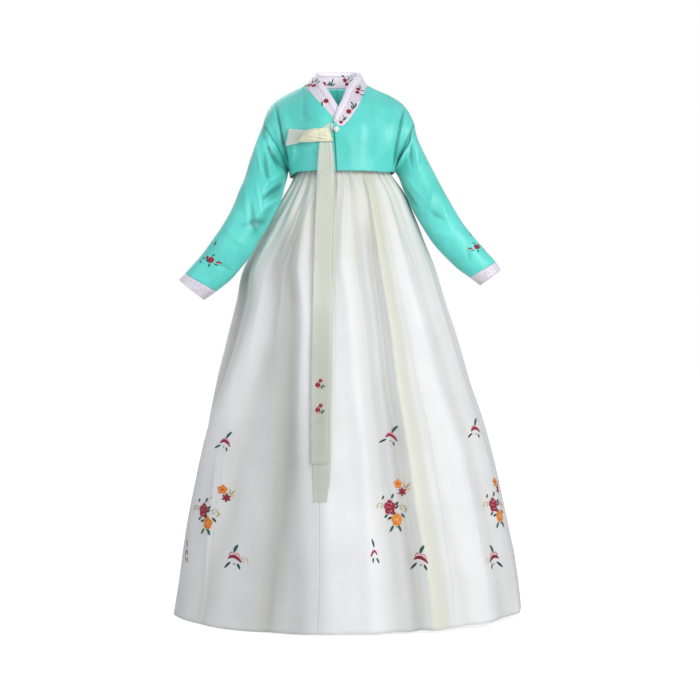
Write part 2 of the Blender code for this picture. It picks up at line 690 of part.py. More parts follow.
def tail_surface(ground, stations, rows, columns, top_y):
    """A hanging ribbon end: it lies on whatever is foremost behind it."""
    x = along(stations["x"], rows)
    z = along(stations["z"], rows)
    width = along(stations["width"], rows)
    fine_z = np.linspace(z[0], z[-1], rows * TAIL_SAMPLES + 1)
    fine_x = np.interp(-fine_z, -z, x)
    reach = 0.52 * np.interp(-fine_z, -z, width)
    behind = np.array([ground.foremost(np.linspace(at - w, at + w, 15), [height])
                       for at, w, height in zip(fine_x, reach, fine_z)])
    depths = np.interp(-z, -fine_z, behind)
    for i in range(rows):
        inside = (fine_z <= z[i]) & (fine_z >= z[i + 1])
        chord = np.interp(-fine_z[inside], -z, depths)
        lift = max(0.0, float(np.max(chord - behind[inside])))
        depths[i] -= lift
        depths[i + 1] -= lift
    depths -= RIBBON / 2 + TAIL_CLEARANCE
    depths[0] = min(depths[0], top_y)
    across = np.linspace(-0.5, 0.5, columns + 1)[None, :]
    grid_x = x[:, None] + width[:, None] * across
    grid_y = np.broadcast_to(depths[:, None], grid_x.shape)
    grid_z = np.broadcast_to(z[:, None], grid_x.shape)
    return np.stack([grid_x, grid_y, grid_z], axis=-1)


def seat(ground, x, depths, heights):
    """Depth to add to points at x so that they lie just clear of what is behind them."""
    near = np.linspace(x - SEAT_REACH, x + SEAT_REACH, 5)
    return min(ground.foremost(near, [z]) - y for y, z in zip(depths, heights)) - RIBBON / 2 - GAP


def bow_tube(ground, stations, rows):
    """A flattened tube of ribbon round the bow's loop, its axis along X."""
    turns = np.linspace(0, 2 * math.pi, TUBE_TURNS, endpoint=False)
    columns = (along(stations[name], rows) for name in ("x", "half_height", "half_depth"))
    rings = []
    for x, half, depth in zip(*columns):
        ring_y = depth * (np.cos(turns) - 1.0)
        ring_z = BOW_MIDDLE + half * np.sin(turns) * (0.96 + 0.04 * np.abs(np.cos(turns)))
        ring_y = ring_y + seat(ground, x, ring_y, ring_z)
        rings.append(np.stack([np.full(len(turns), x), ring_y, ring_z], axis=-1))
    return np.array(rings)


def bow_loop(ground):
    """The loop of the half bow: out along the back, round its end and back along the front."""
    inner_x = WRAP["x"][0] - LOOP_GAP
    across = np.linspace(-1.0, 1.0, LOOP_COLUMNS + 1)
    share = np.linspace(0.0, 1.0, LOOP_STEPS)
    out_x = inner_x + (LOOP_END + 0.003 - inner_x) * share
    half = LOOP_START_HALF + (LOOP_END_HALF - LOOP_START_HALF) * share ** 0.8
    front_step = LOOP_DEPTH + LOOP_PUFF * np.sin(math.pi * share)
    flat = np.zeros(len(across))
    back_y = np.array([seat(ground, x, flat, BOW_MIDDLE + h * across) for x, h in zip(out_x, half)])
    rows = list(zip(out_x, back_y, half))
    rows.append((LOOP_END, back_y[-1] - front_step[-1] / 2, LOOP_END_HALF))
    rows += list(zip(out_x, back_y - front_step, half))[::-1]
    grid = []
    for x, y, h in rows:
        reach = (inner_x - x) / (inner_x - LOOP_END)
        slant = x + LOOP_SLANT * across * reach
        height = BOW_MIDDLE - LOOP_DROP * reach + h * across
        grid.append(np.stack([slant, np.full(len(across), y), height], axis=-1))
    return np.array(grid)


def strap_surface(ground):
    """The ribbon from the collar's end down to the knot, fanning out as it goes."""
    start, end = np.array(STRAP_START), np.array(STRAP_END)
    grid = np.empty((STRAP_ROWS + 1, STRAP_COLUMNS + 1, 3))
    for i, v in enumerate(np.linspace(0, 1, STRAP_ROWS + 1)):
        low = start[0] + (end[0] - start[0]) * v
        high = start[1] + (end[1] - start[1]) * v
        for j, u in enumerate(np.linspace(0, 1, STRAP_COLUMNS + 1)):
            x, z = low + (high - low) * u
            near = ground.foremost(np.linspace(x - 0.008, x + 0.008, 7), np.linspace(z - 0.008, z + 0.008, 7))
            grid[i, j] = (x, near - RIBBON / 2 - GAP, z)
    return grid


TURQUOISE = (0.135, 0.610, 0.545)
LILAC_WHITE = (0.780, 0.720, 0.800)
IVORY = (0.840, 0.820, 0.700)
ORGANZA_WHITE = (0.800, 0.810, 0.760)
WHITE = (0.860, 0.860, 0.850)


def jacket_pieces():
    """Body panels, collar, sleeves and cuffs, sewn edge to edge."""
    front_left = jacket_panel(1, -1, OUTER_COLLAR, NECK_COLUMNS, FREE_EDGE_X, FRONT_HEM)
    front_right = lap_in(jacket_panel(-1, -1, INNER_COLLAR, NECK_COLUMNS, INNER_EDGE_X, FRONT_HEM + 0.001))
    back_collar = {name: values[::-1] for name, values in BACK_COLLAR.items()}
    back_left = jacket_panel(1, 1, back_collar, BACK_NECK_COLUMNS, 0.0, BACK_HEM)
    back_right = jacket_panel(-1, 1, back_collar, BACK_NECK_COLUMNS, 0.0, BACK_HEM)
    pieces = [
        Piece("front_left", front_left, SATIN, TURQUOISE, sewn="last right"),
        Piece("front_right", front_right, SATIN, TURQUOISE, sewn="last right", flip=True),
        Piece("back_left", back_left, SATIN, TURQUOISE, sewn="last right left", flip=True),
        Piece("back_right", back_right, SATIN, TURQUOISE, sewn="last right left"),
    ]
    low = np.concatenate([
        front_left[-1, :NECK_COLUMNS + 1],
        back_left[-1, :BACK_NECK_COLUMNS][::-1],
        back_right[-1, 1:BACK_NECK_COLUMNS],
        front_right[-1, :NECK_COLUMNS + 1][::-1],
    ])
    collar = collar_surface(low)
    pieces.append(Piece("collar", collar, COLLAR_CLOTH, LILAC_WHITE, sewn="first"))
    for name, side, stations in (("left", 1, SLEEVE_LEFT), ("right", -1, SLEEVE_RIGHT)):
        last = len(stations["outer_x"])
        sleeve = sleeve_surface(side, stations, SLEEVE_ROWS, 0, last - 1)
        cuff = sleeve_surface(side, stations, CUFF_ROWS, last - 1, last)
        flip = side > 0
        pieces.append(Piece("sleeve_" + name, sleeve, SATIN, TURQUOISE, True, "first last", flip))
        pieces.append(Piece("cuff_" + name, cuff, SATIN, LILAC_WHITE, True, "first", flip))
    return pieces


def collar_top(stations, side, columns):
    """Upper edge of the collar on one side, from the front end to the shoulder."""
    z = along(stations["top_z"], columns)
    centre = follow(TORSO["height"], TORSO["centre"], z)
    x = centre + side * along(stations["top_x"], columns)
    return np.stack([x, along(stations["top_y"], columns), z], axis=-1)


def collar_surface(low):
    """The collar strip: its seam edge is low, its top edge stands round the neck."""
    outer = collar_top(OUTER_COLLAR, 1, NECK_COLUMNS)
    inner = lap_in(collar_top(INNER_COLLAR, -1, NECK_COLUMNS))
    back = {name: values[::-1] for name, values in BACK_COLLAR.items()}
    back_left = collar_top(back, 1, BACK_NECK_COLUMNS)
    back_right = collar_top(back, -1, BACK_NECK_COLUMNS)
    top = np.concatenate([outer, back_left[:BACK_NECK_COLUMNS][::-1],
                          back_right[1:BACK_NECK_COLUMNS], inner[::-1]])
    share = np.linspace(0, 1, COLLAR_ROWS + 1)[:, None, None]
    return low[None] + (top - low)[None] * share


def edge_band(collar):
    """The plain band folded over the collar's top edge, short of the collar's two ends."""
    run = slice(2, collar.points.shape[1] - 2)
    top = collar.points[-1, run]
    down = collar.points[0, run] - top
    width = np.linalg.norm(down, axis=-1, keepdims=True)
    down /= width
    off = COLLAR_CLOTH / 2 + EDGE_BAND_GAP + EDGE_CLOTH / 2

    def beside(depth, face):
        share = (1.0 - depth / width) * COLLAR_ROWS
        cell = np.minimum(share.astype(int), COLLAR_ROWS - 1)
        columns = np.arange(run.start, run.stop)
        lower, upper = collar.normals[cell[:, 0], columns], collar.normals[cell[:, 0] + 1, columns]
        out = lower + (upper - lower) * (share - cell)
        return top + down * depth + face * off * out / np.linalg.norm(out, axis=-1, keepdims=True)

    rows = [beside(EDGE_BAND_OUTSIDE, 1.0), beside(EDGE_BAND_OUTSIDE / 2, 1.0), beside(0.0, 1.0),
            top - down * off, beside(0.0, -1.0), beside(EDGE_BAND_INSIDE, -1.0)]
    return np.array(rows)


def skirt_pieces():
    """Band, lining and the seamed organza panels."""
    pieces = []
    round_angles = np.arange(LINING_COLUMNS) * 360.0 / LINING_COLUMNS
    band_heights = np.array([BAND_TOP, (BAND_TOP + BAND_BOTTOM) / 2, BAND_BOTTOM])
    band = np.array([skirt_point(round_angles, np.full(LINING_COLUMNS, SKIRT_TOP), 0.0025, False)
                     for _ in band_heights])
    band[..., 2] = band_heights[:, None]
    pieces.append(Piece("skirt_band", band, BAND, WHITE, True, flip=True))
    lining_shares = (0.0, 0.06, 0.15, 0.30, 0.50, 0.74, 1.0)

    def clearance(z):
        return LINING_CLEARANCE_TOP + LINING_CLEARANCE * smooth(SKIRT_TOP, SKIRT_TOP - LINING_FLARE, z)

    lining = skirt_surface(round_angles, lining_shares, clearance, False, LINING_HEM_RISE)
    pieces.append(Piece("skirt_lining", lining, LINING, WHITE, True, flip=True))
    for number, (start, end) in enumerate(zip(PANEL_SEAMS, PANEL_SEAMS[1:]), start=1):
        angles = np.linspace(start, end, PANEL_COLUMNS + 1)
        panel = skirt_surface(angles, SKIRT_ROWS)
        pieces.append(Piece(f"skirt_panel_{number}", panel, ORGANZA, ORGANZA_WHITE, sewn="left right", flip=True))
    return pieces


def add_rosette(ground):
    """The small ribbon knot at the collar's end: a flat puff with lobes."""
    x, z = ROSETTE_CENTRE
    reach = ROSETTE_RADIUS * 1.5
    back = ground.foremost(np.linspace(x - reach, x + reach, 9), np.linspace(z - reach, z + reach, 9)) - GAP
    turns = np.linspace(0, 2 * math.pi, 24, endpoint=False)
    lobed = ROSETTE_RADIUS * (1.0 + ROSETTE_LOBE_HEIGHT * np.cos(ROSETTE_LOBES * turns + 0.5))
    vertices = []
    for width, level in zip(ROSETTE_LEVELS["width"], ROSETTE_LEVELS["level"]):
        for turn, radius in zip(turns, lobed * width):
            vertices.append((x + radius * math.cos(turn), back - level * ROSETTE_THICKNESS,
                             z + radius * math.sin(turn)))
    count = len(turns)
    rings = len(ROSETTE_LEVELS["width"])
    triangles = []
    for ring in range(rings - 1):
        for c in range(count):
            a, b = ring * count + c, ring * count + (c + 1) % count
            triangles += [(a, b, b + count), (a, b + count, a + count)]
    vertices += [(x, back, z), (x, back - ROSETTE_THICKNESS, z)]
    last_ring = (rings - 1) * count
    for c in range(count):
        triangles.append(((c + 1) % count, c, len(vertices) - 2))
        triangles.append((last_ring + c, last_ring + (c + 1) % count, len(vertices) - 1))
    add_object("goreum_rosette", vertices, triangles, LILAC_WHITE, 0.5)


def add_ribbons(ground):
    """Strap, knot, wrap, loop and tails of the goreum."""
    add_rosette(ground)
    ground.add(add_wall(Piece("goreum_strap", strap_surface(ground), RIBBON, IVORY)))
    wrap = Piece("goreum_wrap", bow_tube(ground, WRAP, 6), RIBBON, IVORY, True)
    knot = Piece("goreum_knot", bow_tube(ground, KNOT, 6), RIBBON, IVORY, True)
    loop = Piece("goreum_loop", bow_loop(ground), RIBBON, IVORY)
    for piece in (wrap, knot, loop):
        add_wall(piece)
    top_y = ground.foremost([-0.03], [-0.163]) - 0.004
    back_tail = Piece("goreum_tail_back", tail_surface(ground, BACK_TAIL, 24, 3, top_y), RIBBON, IVORY)
    ground.add(add_wall(back_tail))
    front_tail = Piece("goreum_tail_front", tail_surface(ground, FRONT_TAIL, 22, 3, top_y - 0.002),
                       RIBBON, IVORY)
    add_wall(front_tail)


def build():
    ground = Ground()
    jacket = jacket_pieces()
    skirt = skirt_pieces()
    join_seams(jacket)
    join_seams(skirt)
    collar = next(piece for piece in jacket if piece.name == "collar")
    band = Piece("collar_edge", edge_band(collar), EDGE_CLOTH, WHITE)
    for piece in jacket + skirt:
        built = add_wall(piece)
        if piece.name.startswith(("front", "skirt_panel", "collar")):
            ground.add(built)
    ground.add(add_wall(band))
    add_ribbons(ground)


build()
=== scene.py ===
"""Korean hanbok, dressed: thin cloth shells with their creases, embroidery, seams and materials.

Metres, +Z up, +X towards the wearer's left arm, the front faces -Y.
"""
import math

import bpy
import numpy as np
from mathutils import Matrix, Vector
from mathutils.bvhtree import BVHTree


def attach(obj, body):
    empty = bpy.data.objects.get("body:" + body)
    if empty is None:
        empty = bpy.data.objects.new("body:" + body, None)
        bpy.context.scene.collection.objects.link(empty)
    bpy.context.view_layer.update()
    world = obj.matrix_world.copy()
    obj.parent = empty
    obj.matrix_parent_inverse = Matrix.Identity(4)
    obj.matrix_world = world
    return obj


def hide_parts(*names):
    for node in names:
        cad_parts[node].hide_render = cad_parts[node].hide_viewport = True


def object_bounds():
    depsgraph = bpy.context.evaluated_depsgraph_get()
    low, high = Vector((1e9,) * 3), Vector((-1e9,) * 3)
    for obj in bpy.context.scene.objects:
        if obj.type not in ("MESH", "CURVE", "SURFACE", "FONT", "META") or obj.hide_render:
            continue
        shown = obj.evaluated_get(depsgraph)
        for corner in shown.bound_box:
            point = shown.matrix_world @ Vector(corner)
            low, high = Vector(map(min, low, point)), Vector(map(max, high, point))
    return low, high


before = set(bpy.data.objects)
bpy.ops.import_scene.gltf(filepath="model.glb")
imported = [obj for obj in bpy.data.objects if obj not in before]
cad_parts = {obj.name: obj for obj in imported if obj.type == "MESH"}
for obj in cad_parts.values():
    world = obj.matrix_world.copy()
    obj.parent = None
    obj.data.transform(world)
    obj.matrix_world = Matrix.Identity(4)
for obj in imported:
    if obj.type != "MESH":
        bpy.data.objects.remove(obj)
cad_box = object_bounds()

# How finely the shells are drawn
NECK_COLUMNS = 45
BACK_NECK_COLUMNS = 30
SHOULDER_COLUMNS = 36
ARMHOLE_STEPS = 45
COLLAR_ROWS = 12
EDGE_MARGIN = 4
BODY_SMOOTHING = 250
SLEEVE_ROWS = 110
CUFF_ROWS = 14
PANEL_COLUMNS = 84
PANEL_ROWS = 150
LINING_COLUMNS = 120
LINING_ROWS = 89
BAND_ROWS = 8
LOOP_STEPS = 26
LOOP_COLUMNS = 20
STRAP_ROWS = 26
STRAP_COLUMNS = 20
TUBE_TURNS = 84

# Cloth thicknesses
SATIN = 0.0015
COLLAR_CLOTH = 0.0014
EDGE_CLOTH = 0.0010
RIBBON = 0.0006
ORGANZA = 0.0008
LINING = 0.0010
BAND = 0.0030
GAP = 0.00004
REST = 0.0004

# Camera of the photograph
CAMERA = (0.0312, -4.6, -0.66)
PHOTO_SIZE = 700
FOCAL_PIXELS = 1769.0
HORIZON_PIXEL = 342.0


def table(columns, *rows):
    """A small table: each named column becomes an array."""
    return {name: np.array(values, dtype=float) for name, values in zip(columns.split(), zip(*rows))}


# Cosine of the largest turn at which two sewn sheets still count as running on into each other
SAME_SHEET = 0.2
# Torso that the jacket is cut for: half section is a superellipse at each height
SECTION_POWER = 2.4
TORSO = table(
    "height front back centre",
    (0.046, 0.036, 0.052, 0.0000),
    (0.006, 0.048, 0.064, -0.0045),
    (-0.030, 0.082, 0.084, -0.0025),
    (-0.060, 0.099, 0.094, 0.0000),
    (-0.100, 0.112, 0.101, 0.0025),
    (-0.140, 0.120, 0.103, 0.0055),
    (-0.180, 0.122, 0.105, 0.0085),
    (-0.240, 0.118, 0.113, 0.0115),
)
SHOULDER_LINE = table(
    "height half_width",
    (0.0120, 0.0600),
    (0.0045, 0.0805),
    (-0.0060, 0.1050),
    (-0.0160, 0.1280),
    (-0.0270, 0.1480),
    (-0.0400, 0.1660),
    (-0.0560, 0.1790),
    (-0.0740, 0.1880),
    (-0.0950, 0.1955),
)
ARMHOLE_TOP = (0.1955, -0.0950)
ARMHOLE_FOOT = (0.1370, -0.2130)
ARMHOLE_HALF_DEPTH = 0.057
ARMHOLE_POINT = 1.5
HEM_HALF_WIDTH = 0.1345
FRONT_HEM = -0.2255
SIDE_HEM = {1: -0.2190, -1: -0.2330}
BACK_HEM = -0.2250
FREE_EDGE_X = -0.0120
INNER_EDGE_X = -0.0350
LAP = 0.0048
LAP_SPAN = (-0.055, -0.016)
# The fronts follow the torso form exactly where they overlap, and ease off it beyond
CHEST_BLEND = (0.036, 0.100)
CHEST_BLEND_HEIGHTS = (-0.105, -0.060)
# Neckline and collar stations, from the front end up to the shoulder, seen on the wearer's own side
OUTER_COLLAR = table(
    "low_x low_z top_x top_y top_z",
    (-0.0125, -0.0995, -0.0135, -0.1110, -0.0965),
    (0.0035, -0.1126, -0.0070, -0.1060, -0.0830),
    (0.0200, -0.1041, 0.0000, -0.1010, -0.0659),
    (0.0478, -0.0678, 0.0125, -0.0900, -0.0440),
    (0.0655, -0.0330, 0.0290, -0.0650, -0.0085),
    (0.0770, -0.0060, 0.0475, -0.0340, 0.0200),
    (0.0800, 0.0005, 0.0545, -0.0175, 0.0300),
    (0.0805, 0.0045, 0.0567, 0.0000, 0.0370),
)
INNER_COLLAR = table(
    "low_x low_z top_x top_y top_z",
    (-0.0150, -0.1200, -0.0330, -0.1140, -0.1080),
    (-0.0020, -0.1060, -0.0200, -0.1090, -0.0930),
    (0.0144, -0.0888, -0.0060, -0.1030, -0.0750),
    (0.0379, -0.0592, 0.0085, -0.0900, -0.0440),
    (0.0620, -0.0290, 0.0270, -0.0650, -0.0085),
    (0.0755, -0.0070, 0.0460, -0.0340, 0.0190),
    (0.0795, 0.0002, 0.0540, -0.0175, 0.0295),
    (0.0805, 0.0045, 0.0567, 0.0000, 0.0360),
)
BACK_COLLAR = table(
    "low_x low_z top_x top_y top_z",
    (0.0805, 0.0045, 0.0567, 0.0000, 0.0365),
    (0.0765, 0.0052, 0.0555, 0.0140, 0.0395),
    (0.0640, 0.0060, 0.0490, 0.0290, 0.0425),
    (0.0340, 0.0065, 0.0310, 0.0450, 0.0455),
    (0.0000, 0.0065, 0.0000, 0.0510, 0.0460),
)
EDGE_BAND_OUTSIDE = 0.0150
EDGE_BAND_INSIDE = 0.0100
EDGE_BAND_GAP = 0.0005
# Sleeves: outer and inner edges seen from the front, how far forward they come, half depth
SLEEVE_LEFT = table(
    "outer_x outer_z inner_x inner_z forward half_depth",
    (0.2030, -0.1240, 0.1515, -0.2210, 0.006, 0.0570),
    (0.2210, -0.1690, 0.1590, -0.2360, 0.018, 0.0540),
    (0.2415, -0.2140, 0.1720, -0.2720, 0.032, 0.0500),
    (0.2780, -0.2830, 0.2010, -0.3340, 0.046, 0.0470),
    (0.3190, -0.3540, 0.2440, -0.4050, 0.054, 0.0450),
    (0.3730, -0.4210, 0.3010, -0.4650, 0.058, 0.0400),
    (0.4045, -0.4560, 0.3390, -0.4940, 0.060, 0.0350),
    (0.4175, -0.4755, 0.3655, -0.5140, 0.060, 0.0310),
)
SLEEVE_RIGHT = table(
    "outer_x outer_z inner_x inner_z forward half_depth",
    (0.2040, -0.1250, 0.1305, -0.2210, 0.010, 0.0570),
    (0.2190, -0.1740, 0.1345, -0.2440, 0.036, 0.0530),
    (0.2430, -0.2560, 0.1500, -0.3090, 0.080, 0.0480),
    (0.2710, -0.3270, 0.1820, -0.3710, 0.100, 0.0460),
    (0.3030, -0.3820, 0.2170, -0.4330, 0.104, 0.0450),
    (0.3410, -0.4340, 0.2600, -0.4870, 0.100, 0.0430),
    (0.3880, -0.4870, 0.3100, -0.5310, 0.100, 0.0380),
    (0.4030, -0.5020, 0.3400, -0.5520, 0.100, 0.0340),
)
SLEEVE_ROUND_FROM = 3.0
# Skirt outline seen from the front, its folds and the pleats at the band
SKIRT_TOP = -0.2070
SKIRT_HEM = -1.3520
HEM_TILT = 0.017
HEM_FRONT_DIP = 0.006
SKIRT_DEPTH_RATIO = 0.85
SKIRT_OUTLINE = table(
    "height half_width centre",
    (-0.2000, 0.1165, 0.0105),
    (-0.2255, 0.1235, 0.0120),
    (-0.2400, 0.1320, 0.0135),
    (-0.2680, 0.1500, 0.0155),
    (-0.3350, 0.1850, 0.0120),
    (-0.4145, 0.2220, 0.0070),
    (-0.4756, 0.2500, 0.0035),
    (-0.5510, 0.2690, 0.0080),
    (-0.6420, 0.2955, 0.0110),
    (-0.7800, 0.3345, 0.0135),
    (-0.8604, 0.3575, 0.0190),
    (-1.0060, 0.3895, 0.0250),
    (-1.1620, 0.4180, 0.0295),
    (-1.2530, 0.4325, 0.0320),
    (-1.3600, 0.4470, 0.0300),
)
FOLD_HEIGHTS = (-0.25, -0.55, -0.94, -1.34)
# Angles in degrees from the front centre, widths in degrees, heights in millimetres
FOLDS = table(
    "top upper lower hem before after high_top high_mid high_hem lean",
    (-84.0, -70.0, -86.0, -100.0, 9.0, 8.0, -6.0, -12.0, -4.0, 0.0),
    (-72.0, -50.0, -69.0, -84.0, 8.0, 9.0, 0.0, 13.0, 9.0, 0.0),
    (-56.0, -39.0, -45.0, -58.0, 7.0, 7.0, -4.0, -4.0, -7.0, 0.0),
    (-41.0, -27.5, -22.7, -26.3, 5.0, 3.5, -5.0, -10.0, -9.0, 0.0),
    (-33.0, -20.5, -17.2, -14.0, 3.0, 3.0, 4.0, 5.0, 4.0, 0.0),
    (-25.0, -14.1, -12.0, -10.0, 2.8, 2.8, -5.0, -4.0, -1.0, 0.0),
    (-17.5, -8.8, -8.9, -7.0, 2.8, 2.8, 4.0, 4.0, 1.0, 0.0),
    (-10.4, -4.1, -4.0, -3.0, 2.8, 3.0, -4.0, -3.0, -2.0, 0.0),
    (-2.4, 3.6, 5.8, 7.0, 3.2, 3.4, 5.0, 6.0, 7.0, 0.0),
    (5.5, 10.9, 11.7, 14.0, 3.0, 3.0, -5.0, -7.0, -6.0, 0.0),
    (13.0, 15.8, 16.0, 18.0, 2.6, 2.6, 3.0, 3.0, 2.0, 0.0),
    (20.6, 20.4, 20.4, 23.4, 2.6, 2.0, -6.0, -11.0, -12.0, 0.0),
    (25.4, 25.4, 24.6, 27.6, 2.2, 5.0, 6.0, 13.0, 13.0, 6.0),
    (33.0, 34.5, 35.0, 41.0, 3.5, 3.5, -4.0, -6.0, -6.0, 0.0),
    (39.8, 42.4, 47.7, 50.0, 4.0, 4.5, 4.0, 7.0, 8.0, 0.0),
    (50.0, 54.0, 58.0, 61.0, 4.5, 4.5, -4.0, -6.0, -6.0, 0.0),
    (62.0, 66.0, 69.0, 72.0, 4.5, 5.0, 4.0, 5.0, 6.0, 0.0),
)
HIDDEN_FOLDS_FROM = 82.0
HIDDEN_FOLDS_TO = 246.0
HIDDEN_FOLD_COUNT = 16
FOLD_SEED = 7
PLEATS = 36
PLEAT_HEIGHT = 0.0023
PLEAT_FADE = 0.24
PANEL_SEAMS = (-145.0, -100.0, -55.0, -10.0, 35.0, 80.0, 125.0, 170.0, 215.0)
BAND_TOP = -0.1450
BAND_BOTTOM = -0.2062
BAND_INSET = 0.0025
LINING_CLEARANCE_TOP = 0.0047
LINING_CLEARANCE = 0.0180
LINING_FLARE = 0.070
LINING_HEM_RISE = 0.020
# Goreum: the half bow and its two tails, seen from the front
BOW_MIDDLE = -0.1368
WRAP = table(
    "x half_height half_depth",
    (-0.0920, 0.0155, 0.0052),
    (-0.0780, 0.0175, 0.0062),
    (-0.0620, 0.0181, 0.0065),
    (-0.0485, 0.0174, 0.0061),
)
KNOT = table(
    "x half_height half_depth",
    (-0.0480, 0.0177, 0.0064),
    (-0.0385, 0.0188, 0.0076),
    (-0.0275, 0.0188, 0.0076),
    (-0.0170, 0.0172, 0.0062),
)
LOOP_GAP = -0.0080
SEAT_REACH = 0.004
LOOP_END = -0.1302
LOOP_END_HALF = 0.0215
LOOP_START_HALF = 0.0140
LOOP_DEPTH = 0.0042
LOOP_PUFF = 0.0030
LOOP_SLANT = 0.0040
LOOP_DROP = 0.0005
STRAP_START = ((-0.0165, -0.1030), (-0.0085, -0.1085))
STRAP_END = ((-0.0438, -0.1190), (-0.0180, -0.1390))
ROSETTE_CENTRE = (-0.0035, -0.1210)
ROSETTE_RADIUS = 0.0060
ROSETTE_LOBES = 4
ROSETTE_LOBE_HEIGHT = 0.22
ROSETTE_THICKNESS = 0.0030
FRONT_TAIL = table(
    "x z width",
    (-0.0310, -0.1560, 0.0300),
    (-0.0315, -0.2300, 0.0400),
    (-0.0360, -0.4500, 0.0430),
    (-0.0400, -0.7000, 0.0440),
    (-0.0440, -0.9550, 0.0370),
)
BACK_TAIL = table(
    "x z width",
    (-0.0280, -0.1560, 0.0290),
    (-0.0265, -0.2300, 0.0400),
    (-0.0280, -0.4500, 0.0450),
    (-0.0330, -0.7000, 0.0450),
    (-0.0360, -0.9500, 0.0440),
    (-0.0400, -1.0460, 0.0300),
)


def smooth(start, end, value):
    """Smooth step from 0 at start to 1 at end."""
    t = np.clip((np.asarray(value, dtype=float) - start) / (end - start), 0.0, 1.0)
    return t * t * (3.0 - 2.0 * t)


def follow(xs, ys, x):
    """Smooth curve y(x) through the points of two table columns."""
    order = np.argsort(xs)
    xs, ys = np.asarray(xs)[order], np.asarray(ys)[order]
    slopes = np.gradient(ys, xs)
    x = np.clip(np.asarray(x, dtype=float), xs[0], xs[-1])
    cell = np.clip(np.searchsorted(xs, x, side="right") - 1, 0, len(xs) - 2)
    width = xs[cell + 1] - xs[cell]
    t = (x - xs[cell]) / width
    start = (1 + 2 * t) * (1 - t) ** 2 * ys[cell] + t * (1 - t) ** 2 * width * slopes[cell]
    end = t * t * (3 - 2 * t) * ys[cell + 1] - t * t * (1 - t) * width * slopes[cell + 1]
    return start + end


def unit(vectors):
    """Vectors of length 1 in the same directions."""
    return vectors / np.linalg.norm(vectors, axis=-1, keepdims=True)


def bell(off, width):
    """Bell curve: 1 at the middle, falling away on both sides."""
    return np.exp(-((off / width) ** 2))


def turn_from(angle, place):
    """Degrees from a place round the skirt, between -180 and 180."""
    return (angle - place + 180.0) % 360.0 - 180.0


def bend(t, start, middle, end):
    """Curve from start to end, drawn towards the middle value."""
    return (1 - t) ** 2 * start + 2 * t * (1 - t) * middle + t * t * end


def along(values, count):
    """Values of a table column, read smoothly at count + 1 even steps from its first row to its last."""
    return follow(np.arange(len(values)), values, np.linspace(0, len(values) - 1, count + 1))


# Torso form
def torso_column(name, z):
    """One column of the torso's table, read at a height."""
    return follow(TORSO["height"], TORSO[name], z)


def armhole_share(turn):
    """How far down the armhole a turn from its top leads; round at the top, pointed at the foot."""
    t = np.abs(turn) / math.pi
    return (3.0 - ARMHOLE_POINT) * t ** 2 - (2.0 - ARMHOLE_POINT) * t ** 3


def half_width(z):
    """Half width of the torso section, worked out so that it passes through the armhole."""
    z = np.asarray(z, dtype=float)
    top_x, top_z = ARMHOLE_TOP
    foot_x, foot_z = ARMHOLE_FOOT
    shoulder = follow(SHOULDER_LINE["height"], SHOULDER_LINE["half_width"], z)
    share = np.clip((top_z - z) / (top_z - foot_z), 0.0, 1.0)
    turns = np.linspace(0.0, math.pi, 60)
    edge_x = top_x + (foot_x - top_x) * share
    edge_y = ARMHOLE_HALF_DEPTH * np.sin(np.interp(share, armhole_share(turns), turns))
    front = torso_column("front", z)
    ring = edge_x / (1.0 - (edge_y / front) ** SECTION_POWER) ** (1.0 / SECTION_POWER)
    waist = foot_x + (HEM_HALF_WIDTH - foot_x) * (foot_z - z) / (foot_z - FRONT_HEM)
    waist = np.maximum(waist, HEM_HALF_WIDTH)
    return np.where(z > top_z, shoulder, np.where(z < foot_z, waist, ring))


def section_angle(x, z):
    """Angle on the torso section of the point at x from its centre."""
    q = np.clip(np.abs(x) / half_width(z), 0.0, 1.0)
    return np.sign(x) * np.arcsin(q ** (SECTION_POWER / 2.0))


def torso_point(angle, z, side, facing):
    """Point of the torso; side is +1 for the wearer's left half, facing is -1 for the front."""
    depth = torso_column("front" if facing < 0 else "back", z)
    x = np.sign(angle) * half_width(z) * np.abs(np.sin(angle)) ** (2.0 / SECTION_POWER)
    y = facing * depth * np.abs(np.cos(angle)) ** (2.0 / SECTION_POWER)
    return np.stack([torso_column("centre", z) + side * x, y, z], axis=-1)


def torso_depth(x, z):
    """Depth of the torso's front at x from its centre."""
    share = np.clip(np.abs(x) / half_width(z), 0.0, 1.0)
    front = torso_column("front", z)
    return -front * (1.0 - share ** SECTION_POWER) ** (1.0 / SECTION_POWER)


def blend_patch(bottom, top, left, right):
    """Coons patch between four border curves."""
    u = np.linspace(0, 1, len(bottom))[None, :, None]
    v = np.linspace(0, 1, len(left))[:, None, None]
    ruled = (1 - v) * bottom[None] + v * top[None] + (1 - u) * left[:, None] + u * right[:, None]
    corners = (1 - v) * ((1 - u) * bottom[0] + u * bottom[-1]) + v * ((1 - u) * top[0] + u * top[-1])
    return ruled - corners


def armhole_end(end, side):
    """One end of the armhole as a point in the middle of its depth."""
    x, z = end
    return np.array([float(torso_column("centre", z)) + side * x, 0.0, z])


def armhole_point(turn, side):
    """Point on the armhole: turn is 0 at its top, positive towards the front."""
    turn = np.asarray(turn, dtype=float)[..., None]
    top, foot = armhole_end(ARMHOLE_TOP, side), armhole_end(ARMHOLE_FOOT, side)
    forward = np.array([0.0, -ARMHOLE_HALF_DEPTH, 0.0])
    return top + (foot - top) * armhole_share(turn) + forward * np.sin(turn)


def shoulder_heights():
    """Heights of the shoulder seam points, from the neck to the armhole."""
    return along(SHOULDER_LINE["height"][1:], SHOULDER_COLUMNS)


